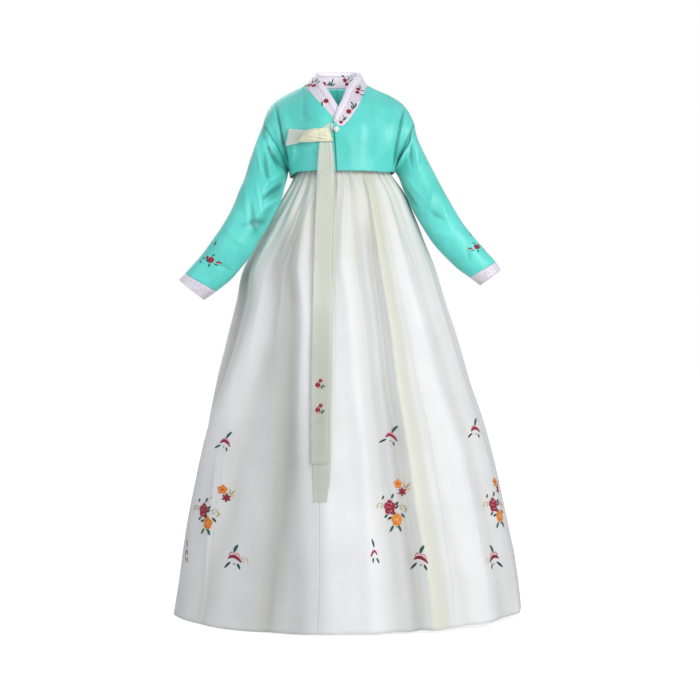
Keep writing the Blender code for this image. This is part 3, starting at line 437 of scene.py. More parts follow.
def jacket_panel(side, facing, collar, neck_columns, edge_x, hem):
    """Mid surface of one body panel: rows go up, columns go from the centre out to the side."""
    flank = math.pi / 2
    neck_z = along(collar["low_z"], neck_columns)
    neck_angles = section_angle(along(collar["low_x"], neck_columns), neck_z)
    neck = torso_point(neck_angles, neck_z, side, facing)
    shoulder_z = shoulder_heights()
    shoulder = torso_point(np.full(len(shoulder_z), flank), shoulder_z, side, facing)
    shoulder[:, 1] = 0.0
    top = np.concatenate([neck[:-1], shoulder])

    turn = np.linspace(math.pi, 0.0, ARMHOLE_STEPS + 1)
    ring = armhole_point(-facing * turn, side)
    ring[[0, -1], 1] = 0.0
    top[-1] = ring[-1]
    start = float(section_angle(np.array(edge_x), np.array(hem)))
    hem_angles = np.linspace(start, flank, len(top))
    hem_z = hem + (SIDE_HEM[side] - hem) * smooth(0.55, 1.0, hem_angles / flank)
    bottom = torso_point(hem_angles, hem_z, side, facing)
    bottom[-1, 1] = 0.0
    right = np.concatenate([bottom[-1:], ring])

    left_z = np.linspace(hem, neck_z[0], len(right))
    left_x = np.linspace(edge_x, collar["low_x"][0], len(right))
    left = torso_point(section_angle(left_x, left_z), left_z, side, facing)

    points = blend_patch(bottom, top, left, right)
    share = np.zeros(points.shape[:2])
    if facing < 0:
        z = points[..., 2]
        x = (points[..., 0] - torso_column("centre", z)) * side
        share = (1.0 - smooth(*CHEST_BLEND, x)) * (1.0 - smooth(*CHEST_BLEND_HEIGHTS, z))
        points[..., 1] += share * (torso_depth(x, z) - points[..., 1])
    ease_depth(points, 1.0 - share)
    return points


def ease_depth(points, share):
    """Evens out a panel's depth inside its borders, so that no corner of them shows as a ridge."""
    depth = points[..., 1]
    for _ in range(BODY_SMOOTHING):
        around = (depth[:-2, 1:-1] + depth[2:, 1:-1] + depth[1:-1, :-2] + depth[1:-1, 2:]) / 4
        depth[1:-1, 1:-1] += share[1:-1, 1:-1] * (around - depth[1:-1, 1:-1]) / 2


def lap_in(points):
    """Moves the inner front back under the outer one, where they overlap."""
    x = points[..., 0] - torso_column("centre", points[..., 2])
    points[..., 1] += LAP * smooth(*LAP_SPAN, x)
    return points


# Sleeves and cuffs
def sleeve_surface(side, stations, rows, first, last):
    """Rings of a sleeve between two of its stations; station 0 is the armhole."""
    ring_top = armhole_end(ARMHOLE_TOP, side)
    ring_foot = armhole_end(ARMHOLE_FOOT, side)
    turn = math.pi - np.arange(2 * ARMHOLE_STEPS) * math.pi / ARMHOLE_STEPS
    at = np.linspace(first, last, rows + 1)
    number = np.arange(len(stations["outer_x"]) + 1)

    def read(column, start, sign=1.0):
        return follow(number, np.concatenate([[start], sign * stations[column]]), at)[:, None]

    outer_x = read("outer_x", ring_top[0], side)
    outer_z = read("outer_z", ring_top[2])
    inner_x = read("inner_x", ring_foot[0], side)
    inner_z = read("inner_z", ring_foot[2])
    forward = read("forward", 0.0)
    depth = read("half_depth", ARMHOLE_HALF_DEPTH)
    share = (1.0 - np.cos(turn)) / 2
    share = share + (armhole_share(turn) - share) * (1.0 - smooth(0.0, SLEEVE_ROUND_FROM, at))[:, None]
    x = outer_x + (inner_x - outer_x) * share
    z = outer_z + (inner_z - outer_z) * share
    y = -forward - depth * np.sin(turn)
    return np.stack([x, y, z], axis=-1)


# Skirt
def hidden_folds():
    """Folds of the sides and back, alternating ridges and valleys at uneven steps."""
    chance = np.random.default_rng(FOLD_SEED)
    steps = 1.0 + 0.35 * chance.uniform(-1.0, 1.0, HIDDEN_FOLD_COUNT)
    places = HIDDEN_FOLDS_FROM + (HIDDEN_FOLDS_TO - HIDDEN_FOLDS_FROM) * np.cumsum(steps) / steps.sum()
    rows = []
    for number, place in enumerate(places):
        sign = 1.0 if number % 2 else -1.0
        drift = chance.uniform(-4.0, 4.0)
        width = chance.uniform(3.2, 5.2)
        height = chance.uniform(6.0, 12.0)
        rows.append((place, place + drift, place + 1.2 * drift, place + 0.8 * drift, width, width + 1.0,
                     sign * 4.0, sign * height, sign * height, 0.0))
    return table(" ".join(FOLDS), *rows)


ALL_FOLDS = {name: np.concatenate([FOLDS[name], values]) for name, values in hidden_folds().items()}
FOLD_PLACES = ("top", "upper", "lower", "hem")
# Fine folds of the organza, between the large ones
FINE_FOLDS = 76
FINE_SEED = 21
FROM_BAND_SHARE = 0.72
CRISP_HEIGHT = 0.0006
CRISP_FADE = 0.16
BUCKLE_HEIGHT = 0.0004
# Waves round the skirt, rise for each metre of height, and phase of each set of buckles
BUCKLES = ((11, 9.0, 0.4), (17, 14.0, 2.1), (23, 21.0, 4.4))


def fine_rows():
    """Angle at the band, drift, first and last height, half width and height of each fine fold."""
    chance = np.random.default_rng(FINE_SEED)
    rows = []
    for number in range(FINE_FOLDS):
        place = (number + chance.uniform(0.2, 0.8)) * 360.0 / FINE_FOLDS
        from_band = chance.uniform() < FROM_BAND_SHARE
        first = SKIRT_TOP - 0.01 if from_band else chance.uniform(-1.15, -0.75)
        last = chance.uniform(-0.85, -0.40) if from_band else SKIRT_HEM - 0.03
        rows.append((place, chance.uniform(-3.0, 3.0), first, last, chance.uniform(1.0, 2.1),
                     chance.uniform(0.7, 1.9)))
    return table("place drift first last width height", *rows)


FINE = fine_rows()


def fine_relief(angle, z):
    """Outward shift by the fine folds, and by a gentle buckling of the crisp cloth."""
    total = np.zeros(np.broadcast(angle, z).shape)
    for place, drift, first, last, width, height in zip(*FINE.values()):
        share = np.clip((first - z) / (first - last), 0.0, 1.0)
        off = turn_from(angle, place + drift * share)
        total += height * 0.001 * np.sin(math.pi * share) ** 0.7 * bell(off, width)
    turn = np.radians(angle)
    near_band = 1.0 - smooth(SKIRT_TOP, SKIRT_TOP - CRISP_FADE, z)
    crisp = np.sin(97 * turn + 1.7 * np.sin(7 * turn))
    crisp += 0.6 * np.sin(61 * turn + 1.1 * np.sin(4 * turn + 1.0))
    total += CRISP_HEIGHT * crisp * near_band
    for waves, rise, phase in BUCKLES:
        total += BUCKLE_HEIGHT * np.sin(waves * turn + rise * z + phase) * np.sin(0.6 * rise * z + 2 * turn)
    return total


def fold_relief(angle, z):
    """Outward and sideways shift of the skirt's cloth by its folds and band pleats."""
    outward = np.zeros(np.broadcast(angle, z).shape)
    sideways = np.zeros_like(outward)
    heights = np.array(FOLD_HEIGHTS)
    for top, upper, lower, hem, before, after, high_top, high_mid, high_hem, lean in zip(*ALL_FOLDS.values()):
        off = turn_from(angle, follow(heights, [top, upper, lower, hem], z))
        bump = bell(off, np.where(off < 0.0, before, after))
        outward += follow(heights[[0, 1, 3]], [high_top, high_mid, high_hem], z) * 0.001 * bump
        sideways -= lean * 0.001 * bump
    ease = smooth(SKIRT_TOP, SKIRT_TOP - 0.06, z)
    turn = np.radians(angle)
    phase = PLEATS * turn + 0.9 * np.sin(3 * turn + 0.6) + 0.5 * np.sin(7 * turn)
    pleat = np.sin(phase + 0.5 * np.sin(phase)) * PLEAT_HEIGHT
    outward = (outward + fine_relief(angle, z)) * ease
    outward += pleat * (1.0 - smooth(SKIRT_TOP, SKIRT_TOP - PLEAT_FADE, z))
    return outward, sideways * ease


def skirt_point(angle, z, inset=0.0, folded=True):
    """Point of the skirt's surface; the angle is 0 at the front centre and grows towards +X."""
    turn = np.radians(angle)
    wide = follow(SKIRT_OUTLINE["height"], SKIRT_OUTLINE["half_width"], z)
    centre = follow(SKIRT_OUTLINE["height"], SKIRT_OUTLINE["centre"], z)
    deep = SKIRT_DEPTH_RATIO * wide
    normal = unit(np.stack([np.sin(turn) / wide, -np.cos(turn) / deep], axis=-1))
    outward, sideways = fold_relief(angle, z) if folded else (0.0, 0.0)
    outward = outward - inset
    x = centre + wide * np.sin(turn) + normal[..., 0] * outward - normal[..., 1] * sideways
    y = -deep * np.cos(turn) + normal[..., 1] * outward + normal[..., 0] * sideways
    return np.stack([x, y, z * np.ones_like(x)], axis=-1)


def hem_height(angle):
    """Height of the skirt's hem round the skirt."""
    turn = np.radians(angle)
    wide = SKIRT_OUTLINE["half_width"][-1]
    return SKIRT_HEM + HEM_TILT * wide * np.sin(turn) - HEM_FRONT_DIP * np.cos(turn)


def skirt_surface(angles, shares, inset=0.0, folded=True, hem_rise=0.0):
    """Rows go down from the band to the hem, columns go round."""
    angle = np.asarray(angles, dtype=float)[None, :]
    share = np.asarray(shares)[:, None]
    z = SKIRT_TOP + (hem_height(angle) + hem_rise - SKIRT_TOP) * share
    angle = np.broadcast_to(angle, z.shape)
    return skirt_point(angle, z, inset(z) if callable(inset) else inset, folded)


# Walls
def grid_normals(points, closed):
    """Unit normals of a grid of points, rows by columns."""
    down = np.gradient(points, axis=0)
    if closed:
        across = (np.roll(points, -1, axis=1) - np.roll(points, 1, axis=1)) / 2
    else:
        across = np.gradient(points, axis=1)
    return unit(np.cross(across, down))


class Piece:
    """A piece of cloth: its mid surface, which borders are sewn, and its wall thickness."""

    def __init__(self, name, points, thickness, closed=False, sewn="", flip=False):
        self.name = name
        self.points = points
        self.thickness = thickness
        self.closed = closed
        self.sewn = sewn.split()
        self.turned = -1.0 if flip else 1.0
        self.tones = {}
        self.normals = grid_normals(points, closed) * self.turned

    def border(self, side):
        return {"first": np.s_[0, :], "last": np.s_[-1, :], "left": np.s_[:, 0], "right": np.s_[:, -1]}[side]

    def next_in(self, side):
        return {"first": np.s_[1, :], "last": np.s_[-2, :], "left": np.s_[:, 1], "right": np.s_[:, -2]}[side]

    def border_run(self, side):
        """Unit directions along a border."""
        line = self.points[self.border(side)]
        if self.closed:
            run = np.roll(line, -1, axis=0) - np.roll(line, 1, axis=0)
        else:
            run = np.gradient(line, axis=0)
        return unit(run)


def join_seams(pieces):
    """Sets how sewn borders meet.

    Sheets that run on into each other share one wall direction and stop half the gap short of
    the seam. Sheets that fold back on each other keep their own and lie side by side.
    """
    meetings = {}
    for piece in pieces:
        piece.moves = np.zeros_like(piece.points)
        for side in piece.sewn:
            edge = piece.border(side)
            into = piece.points[piece.next_in(side)] - piece.points[edge]
            run = piece.border_run(side)
            into = unit(into - run * np.sum(into * run, axis=-1, keepdims=True))
            for i, point in enumerate(piece.points[edge]):
                member = (piece, side, i, piece.normals[edge][i].copy(), into[i])
                meetings.setdefault(tuple(np.floor(point * 1e5 + 0.317)), []).append(member)
    for members in meetings.values():
        for piece, side, i, normal, into in members:
            others = [(n, d) for other, _, _, n, d in members if other is not piece]
            near = [n for n, _ in others if n @ normal > SAME_SHEET]
            far = [(n, d) for n, d in others if n @ normal <= SAME_SHEET]
            total = np.sum([normal] + near, axis=0)
            piece.normals[piece.border(side)][i] = total / np.linalg.norm(total)
            move = into * GAP / 2
            if far:
                facing, beyond = min(far, key=lambda pair: pair[0] @ normal)
                reach = (piece.thickness + GAP) / 2
                apart = reach * max(0.0, -(facing @ normal)) * np.sign(beyond @ normal)
                move = into * reach - normal * apart
            piece.moves[piece.border(side)][i] += move
    for piece in pieces:
        piece.points = piece.points + piece.moves


def seat(ground, x, depths, heights):
    """Depth to add to points at x so that they lie just clear of what is behind them."""
    near = np.linspace(x - SEAT_REACH, x + SEAT_REACH, 5)
    return min(ground.foremost(near, [z]) - y for y, z in zip(depths, heights)) - RIBBON / 2 - REST


def bow_loop(ground):
    """The loop of the half bow: out along the back, round its end and back along the front."""
    inner_x = WRAP["x"][0] - LOOP_GAP
    across = np.linspace(-1.0, 1.0, LOOP_COLUMNS + 1)
    share = np.linspace(0.0, 1.0, LOOP_STEPS)
    out_x = inner_x + (LOOP_END + 0.003 - inner_x) * share
    half = LOOP_START_HALF + (LOOP_END_HALF - LOOP_START_HALF) * share ** 0.8
    front_step = LOOP_DEPTH + LOOP_PUFF * np.sin(math.pi * share)
    flat = np.zeros(len(across))
    back_y = np.array([seat(ground, x, flat, BOW_MIDDLE + h * across) for x, h in zip(out_x, half)])
    rows = list(zip(out_x, back_y, half))
    rows.append((LOOP_END, back_y[-1] - front_step[-1] / 2, LOOP_END_HALF))
    rows += list(zip(out_x, back_y - front_step, half))[::-1]
    grid = []
    for x, y, h in rows:
        reach = (inner_x - x) / (inner_x - LOOP_END)
        slant = x + LOOP_SLANT * across * reach
        height = BOW_MIDDLE - LOOP_DROP * reach + h * across
        grid.append(np.stack([slant, np.full(len(across), y), height], axis=-1))
    return np.array(grid)


def strap_surface(ground):
    """The ribbon from the collar's end down to the knot, fanning out as it goes."""
    start, end = np.array(STRAP_START), np.array(STRAP_END)
    grid = np.empty((STRAP_ROWS + 1, STRAP_COLUMNS + 1, 3))
    for i, v in enumerate(np.linspace(0, 1, STRAP_ROWS + 1)):
        low = start[0] + (end[0] - start[0]) * v
        high = start[1] + (end[1] - start[1]) * v
        for j, u in enumerate(np.linspace(0, 1, STRAP_COLUMNS + 1)):
            x, z = low + (high - low) * u
            near = ground.foremost(np.linspace(x - 0.008, x + 0.008, 7), np.linspace(z - 0.008, z + 0.008, 7))
            grid[i, j] = (x, near - RIBBON / 2 - REST, z)
    return grid


def collar_top(stations, side, columns):
    """Upper edge of the collar on one side, from the front end to the shoulder."""
    z = along(stations["top_z"], columns)
    x = torso_column("centre", z) + side * along(stations["top_x"], columns)
    return np.stack([x, along(stations["top_y"], columns), z], axis=-1)


def collar_surface(low):
    """The collar strip: its seam edge is low, its top edge stands round the neck."""
    outer = collar_top(OUTER_COLLAR, 1, NECK_COLUMNS)
    inner = lap_in(collar_top(INNER_COLLAR, -1, NECK_COLUMNS))
    back = {name: values[::-1] for name, values in BACK_COLLAR.items()}
    back_left = collar_top(back, 1, BACK_NECK_COLUMNS)
    back_right = collar_top(back, -1, BACK_NECK_COLUMNS)
    top = np.concatenate([outer, back_left[:BACK_NECK_COLUMNS][::-1],
                          back_right[1:BACK_NECK_COLUMNS], inner[::-1]])
    share = np.linspace(0, 1, COLLAR_ROWS + 1)[:, None, None]
    return low[None] + (top - low)[None] * share


def edge_band(collar):
    """The plain band folded over the collar's top edge, short of the collar's two ends."""
    run = slice(EDGE_MARGIN, collar.points.shape[1] - EDGE_MARGIN)
    top = collar.points[-1, run]
    down = collar.points[0, run] - top
    width = np.linalg.norm(down, axis=-1, keepdims=True)
    down /= width
    off = COLLAR_CLOTH / 2 + EDGE_BAND_GAP + EDGE_CLOTH / 2

    def beside(depth, face):
        share = (1.0 - depth / width) * COLLAR_ROWS
        cell = np.minimum(share.astype(int), COLLAR_ROWS - 1)
        columns = np.arange(run.start, run.stop)
        lower, upper = collar.normals[cell[:, 0], columns], collar.normals[cell[:, 0] + 1, columns]
        out = lower + (upper - lower) * (share - cell)
        return top + down * depth + face * off * out / np.linalg.norm(out, axis=-1, keepdims=True)

    rows = [beside(EDGE_BAND_OUTSIDE, 1.0), beside(EDGE_BAND_OUTSIDE / 2, 1.0), beside(0.0, 1.0),
            top - down * off, beside(0.0, -1.0), beside(EDGE_BAND_INSIDE, -1.0)]
    return np.array(rows)


def wall_mesh(piece):
    """Closed wall about the mid surface: both faces and rounded rims, as vertices and faces."""
    rows, columns = piece.points.shape[:2]
    shift = piece.normals * piece.thickness / 2
    count = rows * columns
    wrap = columns if piece.closed else columns - 1
    r, c = np.meshgrid(np.arange(rows - 1), np.arange(wrap), indexing="ij")
    here, beyond = r * columns, (r + 1) * columns
    next_c = (c + 1) % columns
    quads = np.stack([here + c, here + next_c, beyond + next_c, beyond + c], axis=-1).reshape(-1, 4)
    borders = ["first", "last"] + ([] if piece.closed else ["left", "right"])
    vertices = [(piece.points + shift).reshape(-1, 3), (piece.points - shift).reshape(-1, 3)]
    faces = [quads, quads[:, ::-1] + count]
    index = np.arange(count).reshape(rows, columns)
    start = 2 * count
    rim_of = {}
    for side in borders:
        edge, inner = piece.border(side), piece.next_in(side)
        out = piece.points[edge] - piece.points[inner]
        out /= np.maximum(np.linalg.norm(out, axis=-1, keepdims=True), 1e-9)
        bulge = 0.0 if side in piece.sewn else 0.35 * piece.thickness
        ids = index[edge]
        rim = []
        for vertex, point in zip(ids, piece.points[edge] + out * bulge):
            if vertex not in rim_of:
                rim_of[vertex] = start
                start += 1
                vertices.append(point[None])
            rim.append(rim_of[vertex])
        ids, rim = np.append(ids, ids[0]), rim + [rim[0]]
        run = range(len(ids) - 1 if piece.closed else len(ids) - 2)
        turned = side in ("last", "left")
        for i in run:
            a, b, m, n = ids[i], ids[i + 1], rim[i], rim[i + 1]
            strips = [[b, a, m, n], [n, m, a + count, b + count]]
            faces.append(np.array([s[::-1] if turned else s for s in strips]))
    vertices, faces = np.concatenate(vertices), np.concatenate(faces)
    corners = vertices[faces]
    volume = np.einsum("ij,ij->i", corners[:, 0], np.cross(corners[:, 1], corners[:, 2])).sum()
    volume += np.einsum("ij,ij->i", corners[:, 0], np.cross(corners[:, 2], corners[:, 3])).sum()
    return vertices, faces if volume > 0 else faces[:, ::-1]


def add_mesh(name, vertices, faces, material, replaces=(), uv=None, tones=None):
    """Makes a piece that rides on the body; tones are numbers per vertex that its material reads."""
    mesh = bpy.data.meshes.new(name)
    mesh.from_pydata(np.asarray(vertices).tolist(), [], [tuple(int(i) for i in f) for f in faces])
    mesh.update()
    mesh.shade_smooth()
    mesh.materials.append(material)
    if uv is not None:
        layer = mesh.uv_layers.new(name="thread")
        layer.data.foreach_set("uv", np.asarray(uv)[np.concatenate([np.asarray(f) for f in faces])].ravel())
    for tone, values in (tones or {}).items():
        layer = mesh.attributes.new(tone, "FLOAT", "POINT")
        layer.data.foreach_set("value", np.asarray(values, dtype=np.float32))
    piece = bpy.data.objects.new(name, mesh)
    bpy.context.scene.collection.objects.link(piece)
    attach(piece, "root")
    if replaces:
        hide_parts(*replaces)
    return piece


# Materials
# A wave texture of this scale has bands one metre apart
WAVE_SCALE = 0.314
THREAD_WIDTH = 0.0005


class Shader:
    """Small helper that builds one cloth material."""

    def __init__(self, name):
        self.material = bpy.data.materials.new(name)
        self.material.use_nodes = True
        self.tree = self.material.node_tree
        self.main = self.tree.nodes["Principled BSDF"]
        self.place = self.node("ShaderNodeTexCoord").outputs["Object"]

    def node(self, kind, **settings):
        made = self.tree.nodes.new(kind)
        for name, value in settings.items():
            if name in made.inputs:
                made.inputs[name].default_value = value
            else:
                setattr(made, name, value)
        return made

    def link(self, source, node, socket):
        self.tree.links.new(source, node.inputs[socket])

    def noise(self, scale, detail=3.0, stretch=(1.0, 1.0, 1.0)):
        mapping = self.node("ShaderNodeMapping")
        mapping.inputs["Scale"].default_value = stretch
        self.link(self.place, mapping, "Vector")
        noise = self.node("ShaderNodeTexNoise", Scale=scale, Detail=detail)
        self.link(mapping.outputs[0], noise, "Vector")
        return noise.outputs["Fac"]

    def weave(self, period):
        """Over and under of the threads: two crossed sets of bands."""
        bands = []
        for axis in ("X", "Z"):
            scale = WAVE_SCALE / period
            wave = self.node("ShaderNodeTexWave", bands_direction=axis, Scale=scale, Distortion=0.6,
                             Detail=1.0)
            self.link(self.place, wave, "Vector")
            bands.append(wave.outputs["Fac"])
        mix = self.node("ShaderNodeMath", operation="MULTIPLY")
        self.link(bands[0], mix, 0)
        self.link(bands[1], mix, 1)
        return mix.outputs[0]

    def blend(self, factor, first, second):
        mix = self.node("ShaderNodeMix", data_type="RGBA")
        self.link(factor, mix, "Factor")
        for number, colour in ((6, first), (7, second)):
            if isinstance(colour, tuple):
                mix.inputs[number].default_value = (*colour, 1.0)
            else:
                self.tree.links.new(colour, mix.inputs[number])
        return mix.outputs[2]

    def ramp(self, value, low, high):
        made = self.node("ShaderNodeMapRange")
        made.inputs["From Min"].default_value = low
        made.inputs["From Max"].default_value = high
        self.link(value, made, "Value")
        return made.outputs["Result"]

    def times(self, value, share):
        made = self.node("ShaderNodeMath", operation="MULTIPLY")
        self.link(value, made, 0)
        made.inputs[1].default_value = share
        return made.outputs[0]

    def read(self, name):
        return self.node("ShaderNodeAttribute", attribute_name=name).outputs["Fac"]

    def bump(self, height, strength, distance, under=None):
        made = self.node("ShaderNodeBump", Strength=strength, Distance=distance)
        self.link(height, made, "Height")
        if under is not None:
            self.link(under, made, "Normal")
        return made.outputs["Normal"]

    def finish(self, colour, roughness, normal=None, **settings):
        self.link(colour, self.main, "Base Color")
        self.main.inputs["Roughness"].default_value = roughness
        for name, value in settings.items():
            self.main.inputs[name.replace("_", " ")].default_value = value
        if normal is not None:
            self.link(normal, self.main, "Normal")
        return self.material


def scaled(colour, share, lift=0.0):
    """A colour made lighter or darker."""
    return tuple(min(1.0, share * channel + lift) for channel in colour)


def satin(name, deep, light, roughness, painted_crease_light=False, brocade=False):
    """Smooth satin: streaks along the threads and a slight mottle between a deeper and a lighter tone; when
    its crease argument is set, painted highlight lies on the crease ridges and painted shade in the crease
    troughs and along the armhole seam, read from the mesh.
    """
    shader = Shader(name)
    streaks = shader.noise(90.0, 4.0, (6.0, 6.0, 0.35))
    mottle = shader.noise(14.0, 3.0)
    tone = shader.blend(shader.ramp(mottle, 0.3, 0.7), deep, light)
    colour = shader.blend(shader.ramp(streaks, 0.45, 1.1), tone, scaled(light, 1.06))
    if brocade:
        cells = shader.node("ShaderNodeTexVoronoi", feature="F1", Scale=210.0)
        shader.link(shader.place, cells, "Vector")
        figure = shader.ramp(cells.outputs["Distance"], 0.25, 0.45)
        colour = shader.blend(figure, scaled(light, 1.12), colour)
    if painted_crease_light:
        # Painted highlight on the crease ridges, then painted shade in the troughs and along the armhole seam
        colour = shader.blend(shader.read("lift"), colour, scaled(light, 1.25, 0.10))
        colour = shader.blend(shader.read("dim"), colour, scaled(deep, 0.35))
    normal = shader.bump(shader.weave(0.0006), 0.10, 0.0002)
    normal = shader.bump(shader.noise(45.0, 3.0), 0.10, 0.002, normal)
    return shader.finish(colour, roughness, normal, Sheen_Weight=0.25, Sheen_Roughness=0.4,
                         Specular_IOR_Level=0.5)


def organza(name, light, alpha, doubled=None):
    """Sheer crisp cloth; where it lies double it turns towards a warmer tone, if one is given. With that tone
    it also takes painted shade in fold valleys and in broad bands beside the folds.
    """
    shader = Shader(name)
    streaks = shader.noise(70.0, 4.0, (8.0, 8.0, 0.3))
    soft = shader.noise(7.0, 3.0)
    tone = shader.blend(shader.ramp(soft, 0.35, 0.65), light, scaled(light, 0.93))
    if doubled:
        # Warmer tone where the cloth lies double, with painted shade in fold valleys; below it, painted shade
        # in broad bands
        tone = shader.blend(shader.read("shade"), tone, doubled)
        tone = shader.blend(shader.read("dim"), tone, scaled(doubled, 0.25))
    colour = shader.blend(shader.times(shader.ramp(streaks, 0.5, 1.2), 0.5), tone, scaled(light, 1.05))
    normal = shader.bump(shader.weave(0.0008), 0.15, 0.0002)
    normal = shader.bump(shader.noise(30.0, 4.0, (1.0, 1.0, 0.5)), 0.12, 0.003, normal)
    return shader.finish(colour, 0.5, normal, Alpha=alpha, Sheen_Weight=0.35, Sheen_Roughness=0.35,
                         Specular_IOR_Level=0.35)


def thread(name, colour):
    """Embroidery thread: satin stitches side by side, drawn along the stroke's own coordinates, with painted
    shade between the stitches and painted highlight along them.
    """
    shader = Shader(name)
    uv = shader.node("ShaderNodeUVMap", uv_map="thread").outputs["UV"]
    scale = WAVE_SCALE / THREAD_WIDTH
    wave = shader.node("ShaderNodeTexWave", bands_direction="X", Scale=scale, Distortion=0.8)
    shader.link(uv, wave, "Vector")
    # Painted shade between the stitches and painted highlight on them, in step with their bump
    tone = shader.blend(wave.outputs["Fac"], scaled(colour, 0.72), scaled(colour, 1.25, 0.01))
    normal = shader.bump(wave.outputs["Fac"], 0.5, 0.0003)
    return shader.finish(tone, 0.45, normal, Sheen_Weight=0.05, Specular_IOR_Level=0.3)


# The jacket's satin carries painted shade and painted highlight at its creases
JACKET = satin("jacket_satin", (0.080, 0.560, 0.500), (0.120, 0.680, 0.620), 0.41, painted_crease_light=True)
COLLAR = satin("collar_satin", (0.560, 0.520, 0.610), (0.680, 0.640, 0.720), 0.45, brocade=True)
EDGE = satin("edge_satin", (0.700, 0.660, 0.780), (0.770, 0.730, 0.840), 0.40)
SKIRT = organza("skirt_organza", (0.835, 0.842, 0.862), 0.86, (0.690, 0.700, 0.590))
LINER = organza("lining_cloth", (0.800, 0.805, 0.815), 1.0)
TAIL = organza("ribbon_organza", (0.790, 0.820, 0.730), 0.44, (0.640, 0.660, 0.500))
BOW = organza("bow_organza", (0.840, 0.820, 0.620), 0.92)
SHEER = organza("sheer_organza", (0.830, 0.845, 0.800), 0.40)
ROSETTE = organza("rosette_organza", (0.860, 0.850, 0.830), 0.95)
THREAD_COLOURS = {
    "crimson": (0.270, 0.004, 0.026),
    "pink": (0.700, 0.260, 0.360),
    "orange": (0.720, 0.200, 0.020),
    "amber": (0.860, 0.520, 0.100),
    "gold": (0.460, 0.370, 0.120),
    "green": (0.005, 0.095, 0.050),
    "dark": (0.008, 0.032, 0.034),
    "white": (0.800, 0.760, 0.780),
}
THREADS = {name: thread("thread_" + name, colour) for name, colour in THREAD_COLOURS.items()}


# Relief of the satin: soft creases drawn over the photograph's frame, on the front or the back
def photo_pixel(points, facing):
    """Where points show in the photograph's frame, seen from the front or, for the back, through it."""
    scale = FOCAL_PIXELS / (-CAMERA[1] - facing * points[..., 1])
    across = PHOTO_SIZE / 2 + (points[..., 0] - CAMERA[0]) * scale
    return across, HORIZON_PIXEL - (points[..., 2] - CAMERA[2]) * scale


CREASE_STEPS = 32
CREASE_GAIN = 1.7
LEAST_WIDTH = 1.35
# How far and how much of the front's creases the back shows
BACK_SHIFT = 4.0
BACK_SHARE = 0.75
# From, middle and to in the photograph's pixels, half width in pixels, height in millimetres
JACKET_CREASES = table(
    "x0 y0 x1 y1 x2 y2 width height",
    (276, 104, 279, 125, 283, 147, 1.8, -3.4),
    (281, 134, 285, 152, 289, 172, 2.2, -4.2),
    (284, 112, 287, 130, 294, 150, 4.0, 1.8),
    (295, 145, 293, 158, 291, 169, 2.6, 1.6),
    (404, 110, 400, 124, 399, 136, 2.0, -3.0),
    (399, 132, 397, 148, 394, 170, 2.2, -3.4),
    (394, 104, 392, 125, 390, 150, 5.0, 1.6),
    (386, 150, 380, 160, 372, 166, 3.5, 1.0),
    (310, 150, 318, 156, 330, 158, 4.0, -0.8),
    (346, 135, 352, 150, 351, 168, 5.0, 0.8),
    (352, 120, 366, 128, 384, 126, 5.0, 0.7),
    (300, 112, 308, 120, 322, 124, 4.0, -0.8),
)
RIGHT_SLEEVE_CREASES = table(
    "x0 y0 x1 y1 x2 y2 width height",
    (272, 142, 281, 154, 288, 166, 1.8, 3.2),
    (268, 146, 277, 160, 285, 172, 2.0, -3.0),
    (259, 148, 259, 162, 263, 180, 1.8, 3.0),
    (264, 152, 266, 170, 270, 184, 2.6, -2.6),
    (256, 178, 259, 196, 262, 216, 1.8, 3.0),
    (262, 190, 270, 178, 284, 172, 2.4, 2.6),
    (262, 200, 272, 190, 284, 184, 2.4, -3.0),
    (258, 214, 268, 204, 280, 198, 2.2, 2.4),
    (250, 200, 253, 216, 256, 232, 3.0, -2.2),
    (246, 190, 246, 206, 248, 224, 3.0, 2.0),
    (240, 226, 250, 222, 266, 222, 3.5, -1.8),
    (226, 226, 232, 238, 246, 246, 3.2, 1.6),
    (268, 112, 264, 126, 262, 140, 3.0, -2.0),
    (273, 118, 270, 134, 268, 146, 2.6, 2.0),
    (210, 256, 220, 266, 232, 270, 3.0, -1.2),
    (274, 123, 280, 146, 287, 167, 1.3, 2.4),
    (274, 108, 276, 126, 284, 152, 1.6, -2.6),
    (265, 138, 271, 154, 279, 170, 1.6, -2.6),
    (262, 128, 258, 144, 255, 164, 1.8, 2.4),
    (288, 168, 273, 204, 252, 238, 6.5, -1.7),
)
LEFT_SLEEVE_CREASES = table(
    "x0 y0 x1 y1 x2 y2 width height",
    (408, 150, 402, 162, 396, 173, 1.8, 3.4),
    (405, 146, 400, 156, 395, 166, 1.8, -3.0),
    (414, 140, 416, 152, 418, 168, 1.8, 2.6),
    (410, 134, 410, 150, 412, 168, 2.6, -2.4),
    (404, 176, 414, 186, 424, 200, 2.4, 2.0),
    (400, 182, 409, 196, 418, 208, 2.6, -2.2),
    (436, 186, 430, 202, 428, 216, 3.6, 1.6),
    (424, 206, 436, 216, 450, 222, 3.2, -1.8),
    (440, 196, 444, 214, 452, 230, 3.0, 1.6),
    (432, 232, 446, 236, 460, 232, 3.0, 1.6),
    (470, 240, 466, 252, 470, 262, 3.0, -1.2),
    (406, 108, 410, 120, 411, 134, 2.6, -1.8),
    (412, 121, 406, 125, 399, 131, 1.2, -2.8),
    (413, 135, 407, 152, 397, 171, 1.5, 2.8),
    (411, 131, 408, 146, 401, 163, 1.4, -2.4),
    (399, 108, 398, 124, 396, 140, 1.6, -2.2),
)


